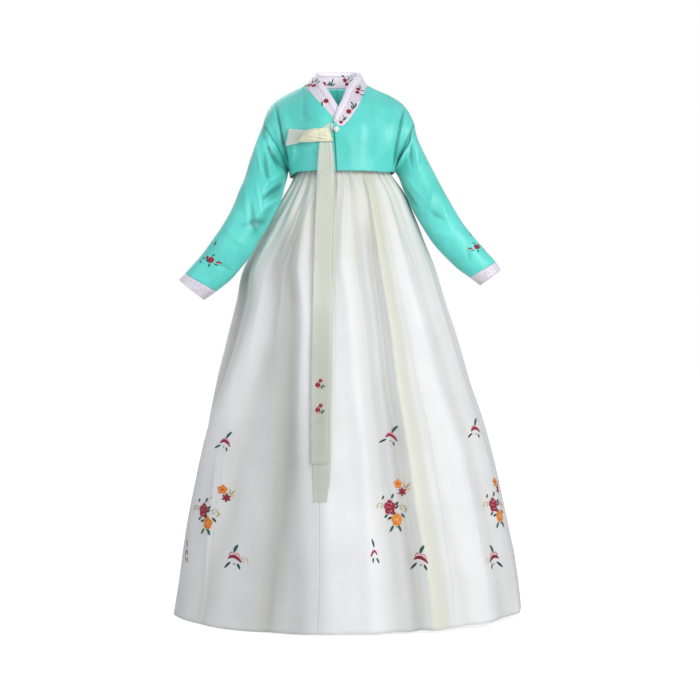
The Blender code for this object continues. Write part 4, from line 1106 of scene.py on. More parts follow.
def crease_height(points, normals, creases):
    """Height of the creases at each point, in metres; the back has similar ones, shifted."""
    total = np.zeros(points.shape[:-1])
    t = np.linspace(0.0, 1.0, CREASE_STEPS)
    taper = 0.45 + 0.9 * np.sqrt(t * (1 - t))
    fade = np.sin(math.pi * (0.12 + 0.76 * t))
    for facing, shift, share in ((-1, 0.0, 1.0), (1, BACK_SHIFT, BACK_SHARE)):
        u, v = photo_pixel(points, facing)
        seen = smooth(0.10, 0.45, facing * normals[..., 1]) * share
        for x0, y0, x1, y1, x2, y2, width, height in zip(*creases.values()):
            line_u = bend(t, x0, x1, x2) + shift * np.sin(3.0 * y0)
            line_v = bend(t, y0, y1, y2) + shift
            near = (u[..., None] - line_u) ** 2 + (v[..., None] - line_v) ** 2
            spread = np.maximum((width * taper) ** 2, LEAST_WIDTH ** 2)
            bump = np.max(np.exp(-near / spread) * fade, axis=-1)
            total += seen * bump * height * 0.001 * CREASE_GAIN
    return total


def border_distance(piece, side):
    """Distance of each point from the same row's or column's point on a border."""
    edge = piece.points[piece.border(side)]
    edge = edge[None] if side in ("first", "last") else edge[:, None]
    return np.linalg.norm(piece.points - edge, axis=-1)


def seam_fade(piece, reach):
    """0 on the sewn borders, rising to 1 at that distance from them."""
    fade = np.ones(piece.points.shape[:2])
    for side in piece.sewn:
        fade = np.minimum(fade, border_distance(piece, side) / reach)
    return smooth(0.0, 1.0, fade)


def ripple(points, size, seed):
    """Gentle uneven waves over a surface, between -1 and 1."""
    chance = np.random.default_rng(seed)
    total = np.zeros(points.shape[:-1])
    for _ in range(5):
        wave = chance.normal(size=3)
        wave *= chance.uniform(0.7, 1.5) / size / np.linalg.norm(wave)
        total += np.sin(points @ wave * 2 * math.pi + chance.uniform(0, 6.28)) / 5
    return total


# Creases end at the seams; painted shade darkens the crease troughs and the armhole seam, and painted
# highlight lightens the ridges
SEAM_REACH = 0.006
SEAM_PUFF = 0.0006
RIPPLE_SIZE = 0.09
JACKET_WAVE = 0.0010
SLEEVE_WAVE = 0.0014
TROUGH_SHADE_DEPTH = 0.005
TROUGH_SHADE_SHARE = 0.80
RIDGE_HIGHLIGHT_FOOT = 0.0018
RIDGE_HIGHLIGHT_HEIGHT = 0.0055
RIDGE_HIGHLIGHT_SHARE = 0.50
SEAM_SHADE = 0.60
SEAM_SHADE_REACH = 0.0045


def crease(piece, creases, wave, seed, armhole):
    """Raises the creases and a gentle wave on a piece; its seams stay where they are. Sets painted shade in
    the crease troughs and along the armhole seam and painted highlight on the crease ridges.
    """
    folds = crease_height(piece.points, piece.normals, creases)
    height = ripple(piece.points, RIPPLE_SIZE, seed) * wave + SEAM_PUFF + folds
    piece.points = piece.points + piece.normals * (height * seam_fade(piece, SEAM_REACH))[..., None]
    piece.normals = grid_normals(piece.points, piece.closed) * piece.turned
    # Painted shade in the crease troughs and along the armhole seam, painted highlight on the crease ridges
    painted_seam_shade = SEAM_SHADE * bell(border_distance(piece, armhole), SEAM_SHADE_REACH)
    piece.tones = {
        "dim": np.maximum(smooth(0.0, -TROUGH_SHADE_DEPTH, folds) * TROUGH_SHADE_SHARE, painted_seam_shade),
        "lift": smooth(RIDGE_HIGHLIGHT_FOOT, RIDGE_HIGHLIGHT_HEIGHT, folds) * RIDGE_HIGHLIGHT_SHARE,
    }


# Resting one piece on others, seen from the front
class Ground:
    """Finished walls that ribbons and stitches lie on."""

    def __init__(self):
        self.vertices = np.zeros((0, 3))
        self.faces = []
        self.tree = None

    def add(self, built):
        vertices, faces = built
        start = len(self.vertices)
        self.vertices = np.concatenate([self.vertices, vertices])
        self.faces += (np.asarray(faces) + start).tolist()
        self.tree = None

    def hit(self, start, direction):
        if self.tree is None:
            self.tree = BVHTree.FromPolygons(self.vertices.tolist(), self.faces)
        return self.tree.ray_cast(Vector(start), Vector(direction))

    def front(self, x, z):
        """Depth of the foremost wall at x and z, or None past its edge."""
        place = self.hit((x, -2.0, z), (0.0, 1.0, 0.0))[0]
        return place.y if place else None

    def foremost(self, xs, zs):
        depths = [self.front(x, z) for x in xs for z in zs]
        return min(d for d in depths if d is not None)


def cloth_ground(*starts):
    """The shells of the nodes whose names start so, to lay other pieces on."""
    ground = Ground()
    for node in SKIN:
        if node.startswith(starts):
            ground.add(SKIN[node])
    return ground


# Tones of the organza: the row of the fold along which one end of the skirt overlaps the other
OVERLAP_ROW = 12


def doubled_cloth_and_fold_shade(angle, z):
    """Where the organza lies in several layers, at the gathers and along the overlap, with painted shade
    added in the deep fold valleys.
    """
    off = angle - follow(FOLD_HEIGHTS, [FOLDS[name][OVERLAP_ROW] for name in FOLD_PLACES], z)
    overlap = smooth(-2.0, -0.4, off) * (1.0 - smooth(4.0, 7.5, off))
    outward, _ = fold_relief(angle, z)
    # Painted shade in the deep valleys of the folds
    valley_shade = smooth(0.0, -0.008, outward)
    gather = 1.0 - smooth(SKIRT_TOP, -0.62, z)
    streak = 0.5 + 0.5 * np.sin(PLEATS * np.radians(angle) + 1.3 * np.sin(5.0 * np.radians(angle)))
    return np.clip(0.75 * overlap + gather * (0.30 + 0.40 * streak) + 0.35 * valley_shade, 0.0, 1.0)


# Painted shade on the organza: broad darker bands that follow its folds, wide on one side and narrow on the
# other
SHADE_BANDS = table(
    "top upper lower hem before after high low",
    (-41.5, -28.0, -23.2, -26.8, 15.0, 1.8, 0.46, 0.32),
    (-24.0, -20.0, -17.0, -15.5, 12.0, 8.0, 0.06, 0.38),
    (20.2, 20.0, 20.0, 23.0, 9.0, 1.4, 0.26, 0.42),
    (-80.0, -73.0, -76.0, -78.0, 7.0, 5.0, 0.34, 0.12),
    (-62.0, -56.0, -58.0, -55.0, 5.0, 2.0, 0.10, 0.04),
    (62.0, 66.0, 70.0, 67.0, 9.0, 2.0, 0.10, 0.12),
    (104.0, 100.0, 96.0, 99.0, 12.0, 2.2, 0.20, 0.30),
    (150.0, 145.0, 149.0, 143.0, 10.0, 1.8, 0.22, 0.14),
    (196.0, 201.0, 192.0, 198.0, 13.0, 2.4, 0.18, 0.32),
    (238.0, 231.0, 240.0, 236.0, 9.0, 2.0, 0.24, 0.20),
)


def band_shade(angle, z):
    """How much painted shade the bands lay on the organza, from 0 to 1."""
    total = np.zeros(np.broadcast(angle, z).shape)
    lower_part = smooth(-0.60, -0.95, z)
    shown = smooth(-0.31, -0.42, z)
    for top, upper, lower, hem, before, after, high, low in zip(*SHADE_BANDS.values()):
        off = turn_from(angle, follow(FOLD_HEIGHTS, [top, upper, lower, hem], z))
        share = high + (low - high) * lower_part
        total += share * shown * bell(off, np.where(off < 0.0, before, after))
    return total


# Building the cloth
SKIN = {}
EASE_REACH = 9.0
EASE_TURNS = 80
EASE_STEP = 0.8


def dress(piece, material):
    vertices, faces = wall_mesh(piece)
    tones = {}
    for tone, values in piece.tones.items():
        rim = np.full(len(vertices) - 2 * values.size, values.mean())
        tones[tone] = np.concatenate([values.ravel(), values.ravel(), rim])
    made = add_mesh(piece.name + "_cloth", vertices, faces, material, (piece.name,), tones=tones)
    points = piece.points
    if piece.closed:
        points = np.concatenate([points, points[:, :1]], axis=1)
    SKIN[piece.name] = (vertices, faces)


def ease_below_neck(points, column):
    """Evens out the depth in the columns below the neck point, where the panel's cells change in width."""
    share = bell(np.arange(points.shape[1]) - column, EASE_REACH)[None, 1:-1]
    for _ in range(EASE_TURNS):
        apart = np.linalg.norm(np.diff(points[..., [0, 2]], axis=1), axis=-1)
        near, far = apart[1:-1, :-1], apart[1:-1, 1:]
        depth = points[..., 1]
        even = (depth[1:-1, :-2] * far + depth[1:-1, 2:] * near) / (near + far)
        points[1:-1, 1:-1, 1] += EASE_STEP * share * (even - depth[1:-1, 1:-1])


def jacket_pieces():
    """Body panels, collar, sleeves and cuffs, sewn edge to edge, with their creases."""
    front_left = jacket_panel(1, -1, OUTER_COLLAR, NECK_COLUMNS, FREE_EDGE_X, FRONT_HEM)
    front_right = lap_in(jacket_panel(-1, -1, INNER_COLLAR, NECK_COLUMNS, INNER_EDGE_X, FRONT_HEM + 0.001))
    ease_below_neck(front_left, NECK_COLUMNS)
    ease_below_neck(front_right, NECK_COLUMNS)
    back_collar = {name: values[::-1] for name, values in BACK_COLLAR.items()}
    back_left = jacket_panel(1, 1, back_collar, BACK_NECK_COLUMNS, 0.0, BACK_HEM)
    back_right = jacket_panel(-1, 1, back_collar, BACK_NECK_COLUMNS, 0.0, BACK_HEM)
    low = np.concatenate([
        front_left[-1, :NECK_COLUMNS + 1],
        back_left[-1, :BACK_NECK_COLUMNS][::-1],
        back_right[-1, 1:BACK_NECK_COLUMNS],
        front_right[-1, :NECK_COLUMNS + 1][::-1],
    ])
    pieces = [
        Piece("front_left", front_left, SATIN, sewn="last right"),
        Piece("front_right", front_right, SATIN, sewn="last right", flip=True),
        Piece("back_left", back_left, SATIN, sewn="last right left", flip=True),
        Piece("back_right", back_right, SATIN, sewn="last right left"),
    ]
    for seed, piece in enumerate(pieces):
        crease(piece, JACKET_CREASES, JACKET_WAVE, seed, "right")
    pieces.append(Piece("collar", collar_surface(low), COLLAR_CLOTH, sewn="first"))
    for name, side, stations in (("left", 1, SLEEVE_LEFT), ("right", -1, SLEEVE_RIGHT)):
        last = len(stations["outer_x"])
        sleeve = sleeve_surface(side, stations, SLEEVE_ROWS, 0, last - 1)
        cuff = sleeve_surface(side, stations, CUFF_ROWS, last - 1, last)
        flip = side > 0
        pieces.append(Piece("sleeve_" + name, sleeve, SATIN, True, "first last", flip))
        creases = LEFT_SLEEVE_CREASES if side > 0 else RIGHT_SLEEVE_CREASES
        crease(pieces[-1], creases, SLEEVE_WAVE, 9 + side, "first")
        pieces.append(Piece("cuff_" + name, cuff, SATIN, True, "first", flip))
    return pieces


def dress_jacket():
    """Makes the jacket's shells and the edging on its collar."""
    jacket = jacket_pieces()
    join_seams(jacket)
    for piece in jacket:
        plain = piece.name.startswith(("collar", "cuff"))
        material, slot_name = (COLLAR, "embroidered_satin") if plain else (JACKET, "turquoise_satin")
        dress(piece, material)
    collar = next(piece for piece in jacket if piece.name == "collar")
    dress(Piece("collar_edge", edge_band(collar), EDGE_CLOTH), EDGE)


def panel_angles(start, end, columns):
    """Columns of a skirt panel, closer together at its two seams."""
    t = np.linspace(0.0, 1.0, columns + 1)
    return start + (end - start) * (0.55 * t + 0.45 * (0.5 - 0.5 * np.cos(math.pi * t)))


def dress_skirt():
    """Makes the band, the lining and the pleated panels."""
    round_angles = np.arange(LINING_COLUMNS) * 360.0 / LINING_COLUMNS
    round_band = skirt_point(round_angles, np.full(LINING_COLUMNS, SKIRT_TOP), BAND_INSET, False)
    band = np.repeat(round_band[None], BAND_ROWS + 1, axis=0)
    band[..., 2] = np.linspace(BAND_TOP, BAND_BOTTOM, BAND_ROWS + 1)[:, None]
    dress(Piece("skirt_band", band, BAND, True, flip=True), LINER)

    def clearance(z):
        return LINING_CLEARANCE_TOP + LINING_CLEARANCE * smooth(SKIRT_TOP, SKIRT_TOP - LINING_FLARE, z)

    shares = np.linspace(0.0, 1.0, LINING_ROWS + 1) ** 1.3
    lining = skirt_surface(round_angles, shares, clearance, False, LINING_HEM_RISE)
    dress(Piece("skirt_lining", lining, LINING, True, flip=True), LINER)
    panels = []
    shares = np.linspace(0.0, 1.0, PANEL_ROWS + 1) ** 1.2
    for number, (start, end) in enumerate(zip(PANEL_SEAMS, PANEL_SEAMS[1:]), start=1):
        angles = panel_angles(start, end, PANEL_COLUMNS)
        panel = skirt_surface(angles, shares)
        made = Piece(f"skirt_panel_{number}", panel, ORGANZA, sewn="left right", flip=True)
        at = np.broadcast_to(angles, panel.shape[:2]), panel[..., 2]
        # Warmer tone of doubled cloth with painted shade in fold valleys, and painted shade in broad bands
        made.tones = {"shade": doubled_cloth_and_fold_shade(*at), "dim": band_shade(*at)}
        panels.append(made)
    join_seams(panels)
    for made in panels:
        dress(made, SKIRT)


# Ribbons
TAIL_ROWS = 150
TAIL_COLUMNS = 16
TAIL_CLEAR = 0.0009
TAIL_TOP_REACH = 0.030
# Painted shade on the tails, growing towards their lower ends
TAIL_PAINTED_SHADE = 0.28
# Where the tails leave the knot, how far in front of the cloth there, and one in front of the other
TAIL_SPOT = (-0.03, -0.163)
TAIL_TOP_GAP = 0.004
TAILS_APART = 0.002
STRAP_PLEAT = 0.0009
WRAP_LEAN = 0.0100
KNOT_LEAN = -0.0060
ROSETTE_GAP = 0.0004
FOLD_ROWS = 48
FOLD_SWING = 105.0


def neighbours(values, span, axis):
    """The values moved by each whole step up to the span, along one axis."""
    wide = [(span, span) if axis == number else (0, 0) for number in range(values.ndim)]
    padded = np.pad(values, wide, mode="edge")
    return [np.take(padded, np.arange(i, i + values.shape[axis]), axis) for i in range(2 * span + 1)]


def soften(values, span, axis):
    """Running mean with rounded weights along one axis."""
    weights = np.hanning(2 * span + 3)[1:-1]
    parts = [moved * weight for moved, weight in zip(neighbours(values, span, axis), weights)]
    return sum(parts) / weights.sum()


def nearest_of(values, span, axis):
    """Smallest of the neighbours along one axis."""
    return np.min(neighbours(values, span, axis), axis=0)


def tail_surface(ground, stations, top_y, seed):
    """A hanging ribbon end that rests on what is behind it and follows its larger folds."""
    x = along(stations["x"], TAIL_ROWS)
    z = along(stations["z"], TAIL_ROWS)
    width = along(stations["width"], TAIL_ROWS)
    across = np.linspace(-0.5, 0.5, TAIL_COLUMNS + 1)[None, :]
    grid_x = x[:, None] + width[:, None] * across
    grid_z = np.broadcast_to(z[:, None], grid_x.shape)
    behind = np.array([[ground.foremost([px], [pz]) for px, pz in zip(row_x, row_z)]
                       for row_x, row_z in zip(grid_x, grid_z)])
    slope = soften(behind.mean(axis=1), 12, 0)[:, None]
    relief = soften(nearest_of(nearest_of(behind - slope, 2, 0), 3, 1), 3, 0)
    level = np.minimum(slope + soften(relief, 3, 1), behind) - RIBBON / 2 - TAIL_CLEAR
    hang = (1.0 - smooth(0.0, -TAIL_TOP_REACH, z - z[0]))[:, None]
    level = level + hang * np.minimum(0.0, top_y - level)
    chance = np.random.default_rng(seed)
    phase = chance.uniform(0.0, 6.28, 3)
    run = z[:, None] * 2 * math.pi
    wave = 0.0009 * (1.0 + np.sin(run / 0.21 + phase[0] + 2.4 * across) * np.cos(run / 0.37 + phase[1]))
    curl = 0.0010 * (1.0 + np.sin(run / 0.5 + phase[2])) * (2 * across) ** 2
    gather = 0.0011 * (1.0 + np.cos(26.0 * across + phase[2])) * np.exp(-(z[0] - z[:, None]) / 0.05)
    return np.stack([grid_x, level - wave - curl - gather, grid_z], axis=-1)


def bow_tube(ground, stations, rows, start_lean, end_lean):
    """A soft tube of ribbon round the bow's loop, with slanted ends and folds that run along it."""
    turns = np.linspace(0, 2 * math.pi, TUBE_TURNS, endpoint=False)
    share = np.linspace(0.0, 1.0, rows + 1)
    columns = (along(stations[name], rows) for name in ("x", "half_height", "half_depth"))
    rings = []
    for part, x, half, depth in zip(share, *columns):
        swing = FOLD_SWING * x
        pleat = 0.26 * np.sin(5 * turns + swing + 2.0) + 0.12 * np.sin(11 * turns - 1.4 * swing)
        pleat = pleat * smooth(-0.5, 0.6, np.cos(turns + math.pi))
        ring_y = (depth - RIBBON) * (np.cos(turns) * (1.0 + pleat) - 1.0)
        ring_z = (half - RIBBON) * np.sin(turns) * (0.97 + 0.03 * np.sin(3 * turns + 0.8 * swing))
        ring_z = ring_z + BOW_MIDDLE
        ring_y = ring_y + seat(ground, x, ring_y, ring_z)
        lean = (start_lean * (1.0 - part) + end_lean * part) * (ring_z - BOW_MIDDLE) / half
        rings.append(np.stack([x + lean, ring_y, ring_z], axis=-1))
    return np.array(rings)


def rosette_mesh(ground):
    """The small knot at the collar's end: gathered loops of sheer ribbon round a raised middle."""
    x, z = ROSETTE_CENTRE
    reach = ROSETTE_RADIUS * 1.5
    around = np.linspace(-reach, reach, 9)
    back = ground.foremost(x + around, z + around) - ROSETTE_GAP
    turns = np.linspace(0, 2 * math.pi, 96, endpoint=False)
    rings = []
    for level in np.linspace(0.0, 1.0, 22):
        swing = math.pi * level
        lobes = 1.0 + 0.5 * ROSETTE_LOBE_HEIGHT * np.cos(ROSETTE_LOBES * turns + 0.5)
        crinkle = 1.0 + 0.10 * np.sin(17 * turns + 5.0 * level) * math.sin(swing)
        radius = 1.12 * ROSETTE_RADIUS * (0.30 + 0.70 * math.sin(swing)) * lobes * crinkle
        hollow = 0.5 - 0.5 * math.cos(swing)
        height = 1.25 * ROSETTE_THICKNESS * hollow * (1.0 + 0.22 * np.cos(ROSETTE_LOBES * turns + 0.5))
        spots = (x + radius * np.cos(turns), back - height, z + radius * np.sin(turns))
        rings.append(np.stack(spots, axis=-1))
    points = np.array(rings)
    rows, columns = points.shape[:2]
    faces = [(r * columns + c, (r + 1) * columns + c, (r + 1) * columns + (c + 1) % columns,
              r * columns + (c + 1) % columns) for r in range(rows - 1) for c in range(columns)]
    faces.append(tuple(range(columns)))
    faces.append(tuple(range((rows - 1) * columns, rows * columns))[::-1])
    return points.reshape(-1, 3), faces


def pleat_ribbon(grid, count, height):
    """Raises soft lengthwise folds on a ribbon's grid, towards the front."""
    across = np.linspace(0.0, 1.0, grid.shape[1])[None, :]
    down = np.linspace(0.0, 1.0, grid.shape[0])[:, None]
    grid[..., 1] -= height * (1.0 + np.sin(2 * math.pi * count * across + 2.2 * down)) / 2
    return grid


def dress_ribbons():
    """Makes the flower, the strap, the bow and the two tails, each laid on what is behind it."""
    ground = cloth_ground("front", "collar", "skirt_panel_3", "skirt_panel_4")
    vertices, faces = rosette_mesh(ground)
    add_mesh("rosette_ribbon", vertices, faces, ROSETTE, ("goreum_rosette",))
    strap = pleat_ribbon(strap_surface(ground), 4, STRAP_PLEAT)
    dress(Piece("goreum_strap", strap, RIBBON), SHEER)
    ground.add(SKIN["goreum_strap"])
    wrap = Piece("goreum_wrap", bow_tube(ground, WRAP, FOLD_ROWS, WRAP_LEAN, 0.0), RIBBON, True)
    knot = Piece("goreum_knot", bow_tube(ground, KNOT, FOLD_ROWS, 0.0, KNOT_LEAN), RIBBON, True)
    dress(wrap, BOW)
    dress(knot, BOW)
    dress(Piece("goreum_loop", bow_loop(ground), RIBBON), SHEER)
    top_y = ground.foremost([TAIL_SPOT[0]], [TAIL_SPOT[1]]) - TAIL_TOP_GAP
    for name, stations, start_y, seed in (("back", BACK_TAIL, top_y, 3),
                                          ("front", FRONT_TAIL, top_y - TAILS_APART, 5)):
        grid = tail_surface(ground, stations, start_y, seed)
        tail = Piece("goreum_tail_" + name, grid, RIBBON)
        # Painted shade on the tails, darker towards their lower ends
        tail.tones = {"shade": np.zeros(grid.shape[:2]), "dim": TAIL_PAINTED_SHADE * smooth(-0.45, -0.85, grid[..., 2])}
        dress(tail, TAIL)
        ground.add(SKIN[tail.name])


# Embroidery: every stitch group is a small domed stroke laid on the cloth
STROKE_LENGTH_STEPS = 9
STROKE_WIDTH_STEPS = 6
STROKE_RISE = 0.0007
STROKE_LIFT = 0.000012
LEAST_FOUND = 0.6
# A distance that stands for a ray that meets no cloth
MISSED = 9.0
# How far off the cloth the rays of a motif start: over pleats, on the flat collar and on the thin ribbon
PLEAT_DEPTH = 0.03
COLLAR_DEPTH = 0.008
TAIL_DEPTH = 0.004
STITCHES = {}


def ring(colour, x, y, radius_x, radius_y, count, arc, width, phase=0.0):
    """Arcs of stitches round an ellipse, in millimetres."""
    rows = []
    for number in range(count):
        middle = phase + 2 * math.pi * number / count
        far = 1.0 / math.cos(arc / 2)
        spots = [(x + radius_x * r * math.cos(middle + t), y + radius_y * r * math.sin(middle + t))
                 for t, r in ((-arc / 2, 1.0), (0.0, far), (arc / 2, 1.0))]
        rows.append((colour, *spots[0], *spots[1], *spots[2], width))
    return rows


def petals(colour, x, y, inner, outer, count, width, phase=0.0):
    """Petals that point away from a centre, in millimetres."""
    rows = []
    for number in range(count):
        turn = phase + 2 * math.pi * number / count
        spots = [(x + r * math.cos(turn), y + r * math.sin(turn))
                 for r in (inner, (inner + outer) / 2, outer)]
        rows.append((colour, *spots[0], *spots[1], *spots[2], width))
    return rows


def rose(petal, line, x, y, across, up):
    """A full round flower: a filled ground, overlapping petal arcs and pale lines between them."""
    ground = [(petal, x + 0.44 * across * step, y - 0.66 * up, x + 0.48 * across * step, y,
               x + 0.44 * across * step, y + 0.66 * up, 0.66 * across) for step in (-1, 0, 1)]
    return (ground + ring(line, x, y, 1.05 * across, 1.05 * up, 5, 1.1, 0.16 * across, 0.3)
            + ring(petal, x, y, 0.78 * across, 0.78 * up, 5, 1.35, 0.52 * across, 0.3)
            + ring(line, x, y, 0.52 * across, 0.52 * up, 3, 1.2, 0.20 * across, 0.9)
            + petals(line, x, y, 0.0, 0.22 * across, 3, 0.20 * across, 0.5))


def curl(colour, x, y, size, side):
    """A thin scroll of stitches."""
    parts = (
        (-1.0, -0.9, -1.3, 0.9, 0.0, 1.0, 2.2),
        (0.0, 1.0, 1.1, 0.8, 0.8, 0.0, 2.2),
        (0.8, 0.0, 0.3, -0.8, -0.1, 0.1, 2.0),
    )
    wide = side * size
    rows = []
    for x0, y0, x1, y1, x2, y2, width in parts:
        rows.append((colour, x + wide * x0, y + size * y0, x + wide * x1, y + size * y1,
                     x + wide * x2, y + size * y2, width))
    return rows


SPRIG = [
    ("pink", -9, 3, 3, 19, 21, -3, 4.0),
    ("crimson", -10, -2, 4, 14, 21, -10, 8.0),
    ("green", 7, 10, 12, 20, 23, 27, 7.5),
    ("dark", -8, -7, -16, -9, -26, -15, 5.2),
    ("green", 9, -12, 11, -16, 13, -22, 5.5),
    ("dark", 1, -9, 2, -11, 3, -12, 4.0),
]
LOW_SPRIG = [
    ("pink", -12, 6, -3, 17, 4, 8, 3.4),
    ("pink", 3, 8, 12, 14, 17, -3, 3.6),
    ("crimson", -14, -3, 0, 12, 19, -12, 9.0),
    ("dark", -11, 2, -12, 10, -4, 15, 2.0),
    ("green", 1, 12, 2, 22, 10, 31, 8.5),
    ("dark", -7, -11, -14, -16, -23, -26, 6.2),
    ("dark", 9, -15, 13, -20, 16, -29, 5.6),
    ("green", 2, -14, 2, -16, 3, -18, 4.2),
]
BUD = [
    ("pink", -9, -6, 0, 20, 9, -3, 3.2),
    ("crimson", -7, -8, 0, 18, 8, -4, 6.5),
    ("green", 1, 14, 0, 24, -4, 35, 5.2),
    ("green", -2, -10, -3, -16, -3, -23, 4.6),
    ("dark", 6, -11, 9, -16, 13, -24, 4.6),
]


def cluster(shift):
    """The large motif: two full flowers below, two small ones above, moved sideways by the shift."""
    small = shift + 23
    star = shift + 34
    return (
        rose("crimson", "pink", 0, 0, 12.5, 18) + rose("orange", "amber", 16.5, -30, 12.5, 15)
        + petals("white", 16.5, -30, 0.0, 3.0, 3, 2.4)
        + petals("orange", small, 57, 2.0, 12.0, 5, 9.5, 0.3)
        + petals("amber", small, 57, 4.0, 10.0, 5, 3.2, 0.3)
        + petals("crimson", small, 57, 0.0, 2.6, 4, 3.0)
        + petals("crimson", star, 38, 1.0, 11.0, 6, 6.0, 0.5)
        + petals("dark", star, 38, 0.0, 3.0, 4, 2.4)
        + curl("gold", -23, 3, 7.5, 1) + curl("gold", 33, -2, 8.0, -1)
        + [
            ("gold", shift + 41, 47, shift + 46, 49, shift + 52, 59, 3.6),
            ("gold", shift + 39, 49, shift + 41, 54, shift + 40, 60, 3.0),
            ("amber", shift + 42, 43, shift + 48, 42, shift + 53, 46, 3.0),
            ("gold", 38, -12, 43, -8, 46, -1, 3.0),
            ("dark", 20, 35, 21, 34, 22, 33, 3.2),
            ("green", 5, 21, 6, 27, 10, 32, 5.6),
            ("dark", -18, 20, -15, 23, -14, 29, 3.8),
            ("dark", 12, 6, 17, 8, 22, 13, 5.4),
            ("dark", 13, -4, 17, 0, 21, 6, 5.0),
            ("dark", 6, -18, 10, -16, 13, -11, 4.2),
            ("green", -7, -17, -9, -21, -13, -25, 5.4),
            ("dark", 4, -24, 0, -25, -5, -29, 5.4),
            ("dark", 28, -16, 33, -18, 38, -25, 5.4),
            ("green", 7, -44, 4, -50, -1, -59, 5.6),
            ("green", 20, -44, 23, -50, 26, -59, 6.0),
            ("dark", 13, -47, 16, -48, 19, -48, 2.4),
        ]
    )


CLUSTER = cluster(0)
CLUSTER_WIDE = cluster(22)
SPRIG_RIGHT_CURL = LOW_SPRIG + curl("gold", 26, -8, 7.0, -1)
SPRIG_LEFT_CURL = [(c, -x0, y0, -x1, y1, -x2, y2, w) for c, x0, y0, x1, y1, x2, y2, w in SPRIG_RIGHT_CURL]
BERRIES = (
    petals("crimson", -4.0, 3.0, 0.0, 4.6, 5, 4.4, 0.4) + petals("crimson", 2.0, -4.0, 0.0, 4.2, 5, 4.2)
    + petals("pink", 2.0, -4.0, 0.0, 1.4, 3, 1.2)
    + [
        ("white", -6.0, 4.5, -4.5, 6.0, -2.5, 5.0, 1.2),
        ("green", -6, 8, -8, 11, -12, 12, 3.2),
        ("green", 6, 2, 10, 5, 12, 10, 3.0),
        ("dark", 1, 4, 3, 7, 4, 11, 2.2),
        ("green", 8, -3, 11, -2, 14, 2, 2.4),
    ]
)
ROSEBUD = (
    petals("crimson", -6.0, 0.0, 0.0, 4.6, 5, 4.2) + petals("pink", -6.0, 0.0, 3.4, 5.4, 5, 2.0, 0.6)
    + petals("pink", -6.0, 0.0, 0.0, 1.8, 3, 1.4)
    + [
        ("dark", -1, -3, 3, -2, 6, 4, 2.6),
        ("green", 3, -4, 7, -2, 11, 4, 3.2),
        ("green", 6, -4, 11, -4, 15, 0, 2.8),
        ("dark", 9, 3, 11, 6, 12, 9, 2.0),
    ]
)
# On the sleeve: a rose between two buds
SLEEVE_SPRAY = (
    rose("crimson", "pink", 0, 0, 8.0, 8.0) + petals("crimson", -11, 7, 0.0, 5.0, 4, 4.2, 0.3)
    + [
        ("crimson", 13, -7, 20, -3, 27, -8, 5.0),
        ("pink", 14, -9, 20, -6, 26, -10, 2.0),
        ("dark", -14, 3, -10, -1, -7, -6, 4.0),
        ("dark", -19, 8, -22, 6, -24, 4, 4.6),
        ("green", -3, -9, -3, -13, -5, -18, 4.6),
        ("green", 3, 9, 6, 13, 11, 13, 4.0),
        ("dark", -30, 1, -28, -4, -29, -8, 3.4),
        ("dark", 6, 38, 9, 43, 10, 49, 5.0),
        ("green", 8, -9, 13, -13, 19, -13, 3.2),
    ]
)
TAIL_SPRAY = (
    rose("crimson", "white", -2, -1, 6.5, 7.0) + rose("crimson", "white", 4.5, 9.5, 5.0, 5.0)
    + [
        ("green", 5, -3, 8, -6, 9, -11, 4.0),
        ("green", 9, -1, 13, -3, 14, -7, 3.6),
        ("pink", -3, -9, 0, -12, 4, -9, 2.2),
    ]
)


def cloth_frame(ground, start, direction, reach):
    """Where a ray meets the cloth, with the right, up and outward directions of the cloth around it."""
    place = ground.hit(start, direction)[0]
    if place is None:
        return None
    ray = Vector(direction)
    aside = ray.cross(Vector((0.0, 0.0, 1.0))).normalized()
    above = aside.cross(ray)
    normal = Vector((0.0, 0.0, 0.0))
    for x in (-reach, 0.0, reach):
        for y in (-reach, 0.0, reach):
            spot, facing, _, _ = ground.hit(place + aside * x + above * y - ray * 0.1, ray)
            if spot is not None:
                normal += facing if facing.dot(ray) < 0 else -facing
    normal.normalize()
    right = Vector((0.0, 0.0, 1.0)).cross(normal).normalized()
    return place, right, normal.cross(right), normal


def photo_ray(across, down):
    """Ray from the camera through a pixel of the photograph."""
    direction = Vector((across - PHOTO_SIZE / 2, FOCAL_PIXELS, HORIZON_PIXEL - down)).normalized()
    return CAMERA, direction


def skirt_ray(angle, z):
    outer = skirt_point(np.array(float(angle)), np.array(float(z)), -0.25, False)
    inner = skirt_point(np.array(float(angle)), np.array(float(z)), 0.0, False)
    return tuple(outer), Vector(inner - outer).normalized()


def stroke_grid(row):
    """Places across the cloth of one stroke, in metres, with its rise and thread coordinates."""
    x0, y0, x1, y1, x2, y2, width = (0.001 * value for value in row[1:])
    t = np.linspace(0.0, 1.0, STROKE_LENGTH_STEPS + 1)[:, None]
    s = np.linspace(-1.0, 1.0, STROKE_WIDTH_STEPS + 1)[None, :]
    x = bend(t, x0, x1, x2)
    y = bend(t, y0, y1, y2)
    run_x, run_y = np.gradient(x[:, 0]), np.gradient(y[:, 0])
    length = np.maximum(np.hypot(run_x, run_y), 1e-9)
    half = width / 2 * (0.12 + 0.88 * np.sin(math.pi * np.clip(t, 0.02, 0.98)) ** 0.6)
    grid_x = x - s * half * (run_y / length)[:, None]
    grid_y = y + s * half * (run_x / length)[:, None]
    rise = STROKE_RISE * (1.0 - s * s) * np.minimum(1.0, half / 0.0012)
    u = np.cumsum(length)[:, None] + s * half * 0.6
    return grid_x, grid_y, rise, np.stack([u, s * half], axis=-1)


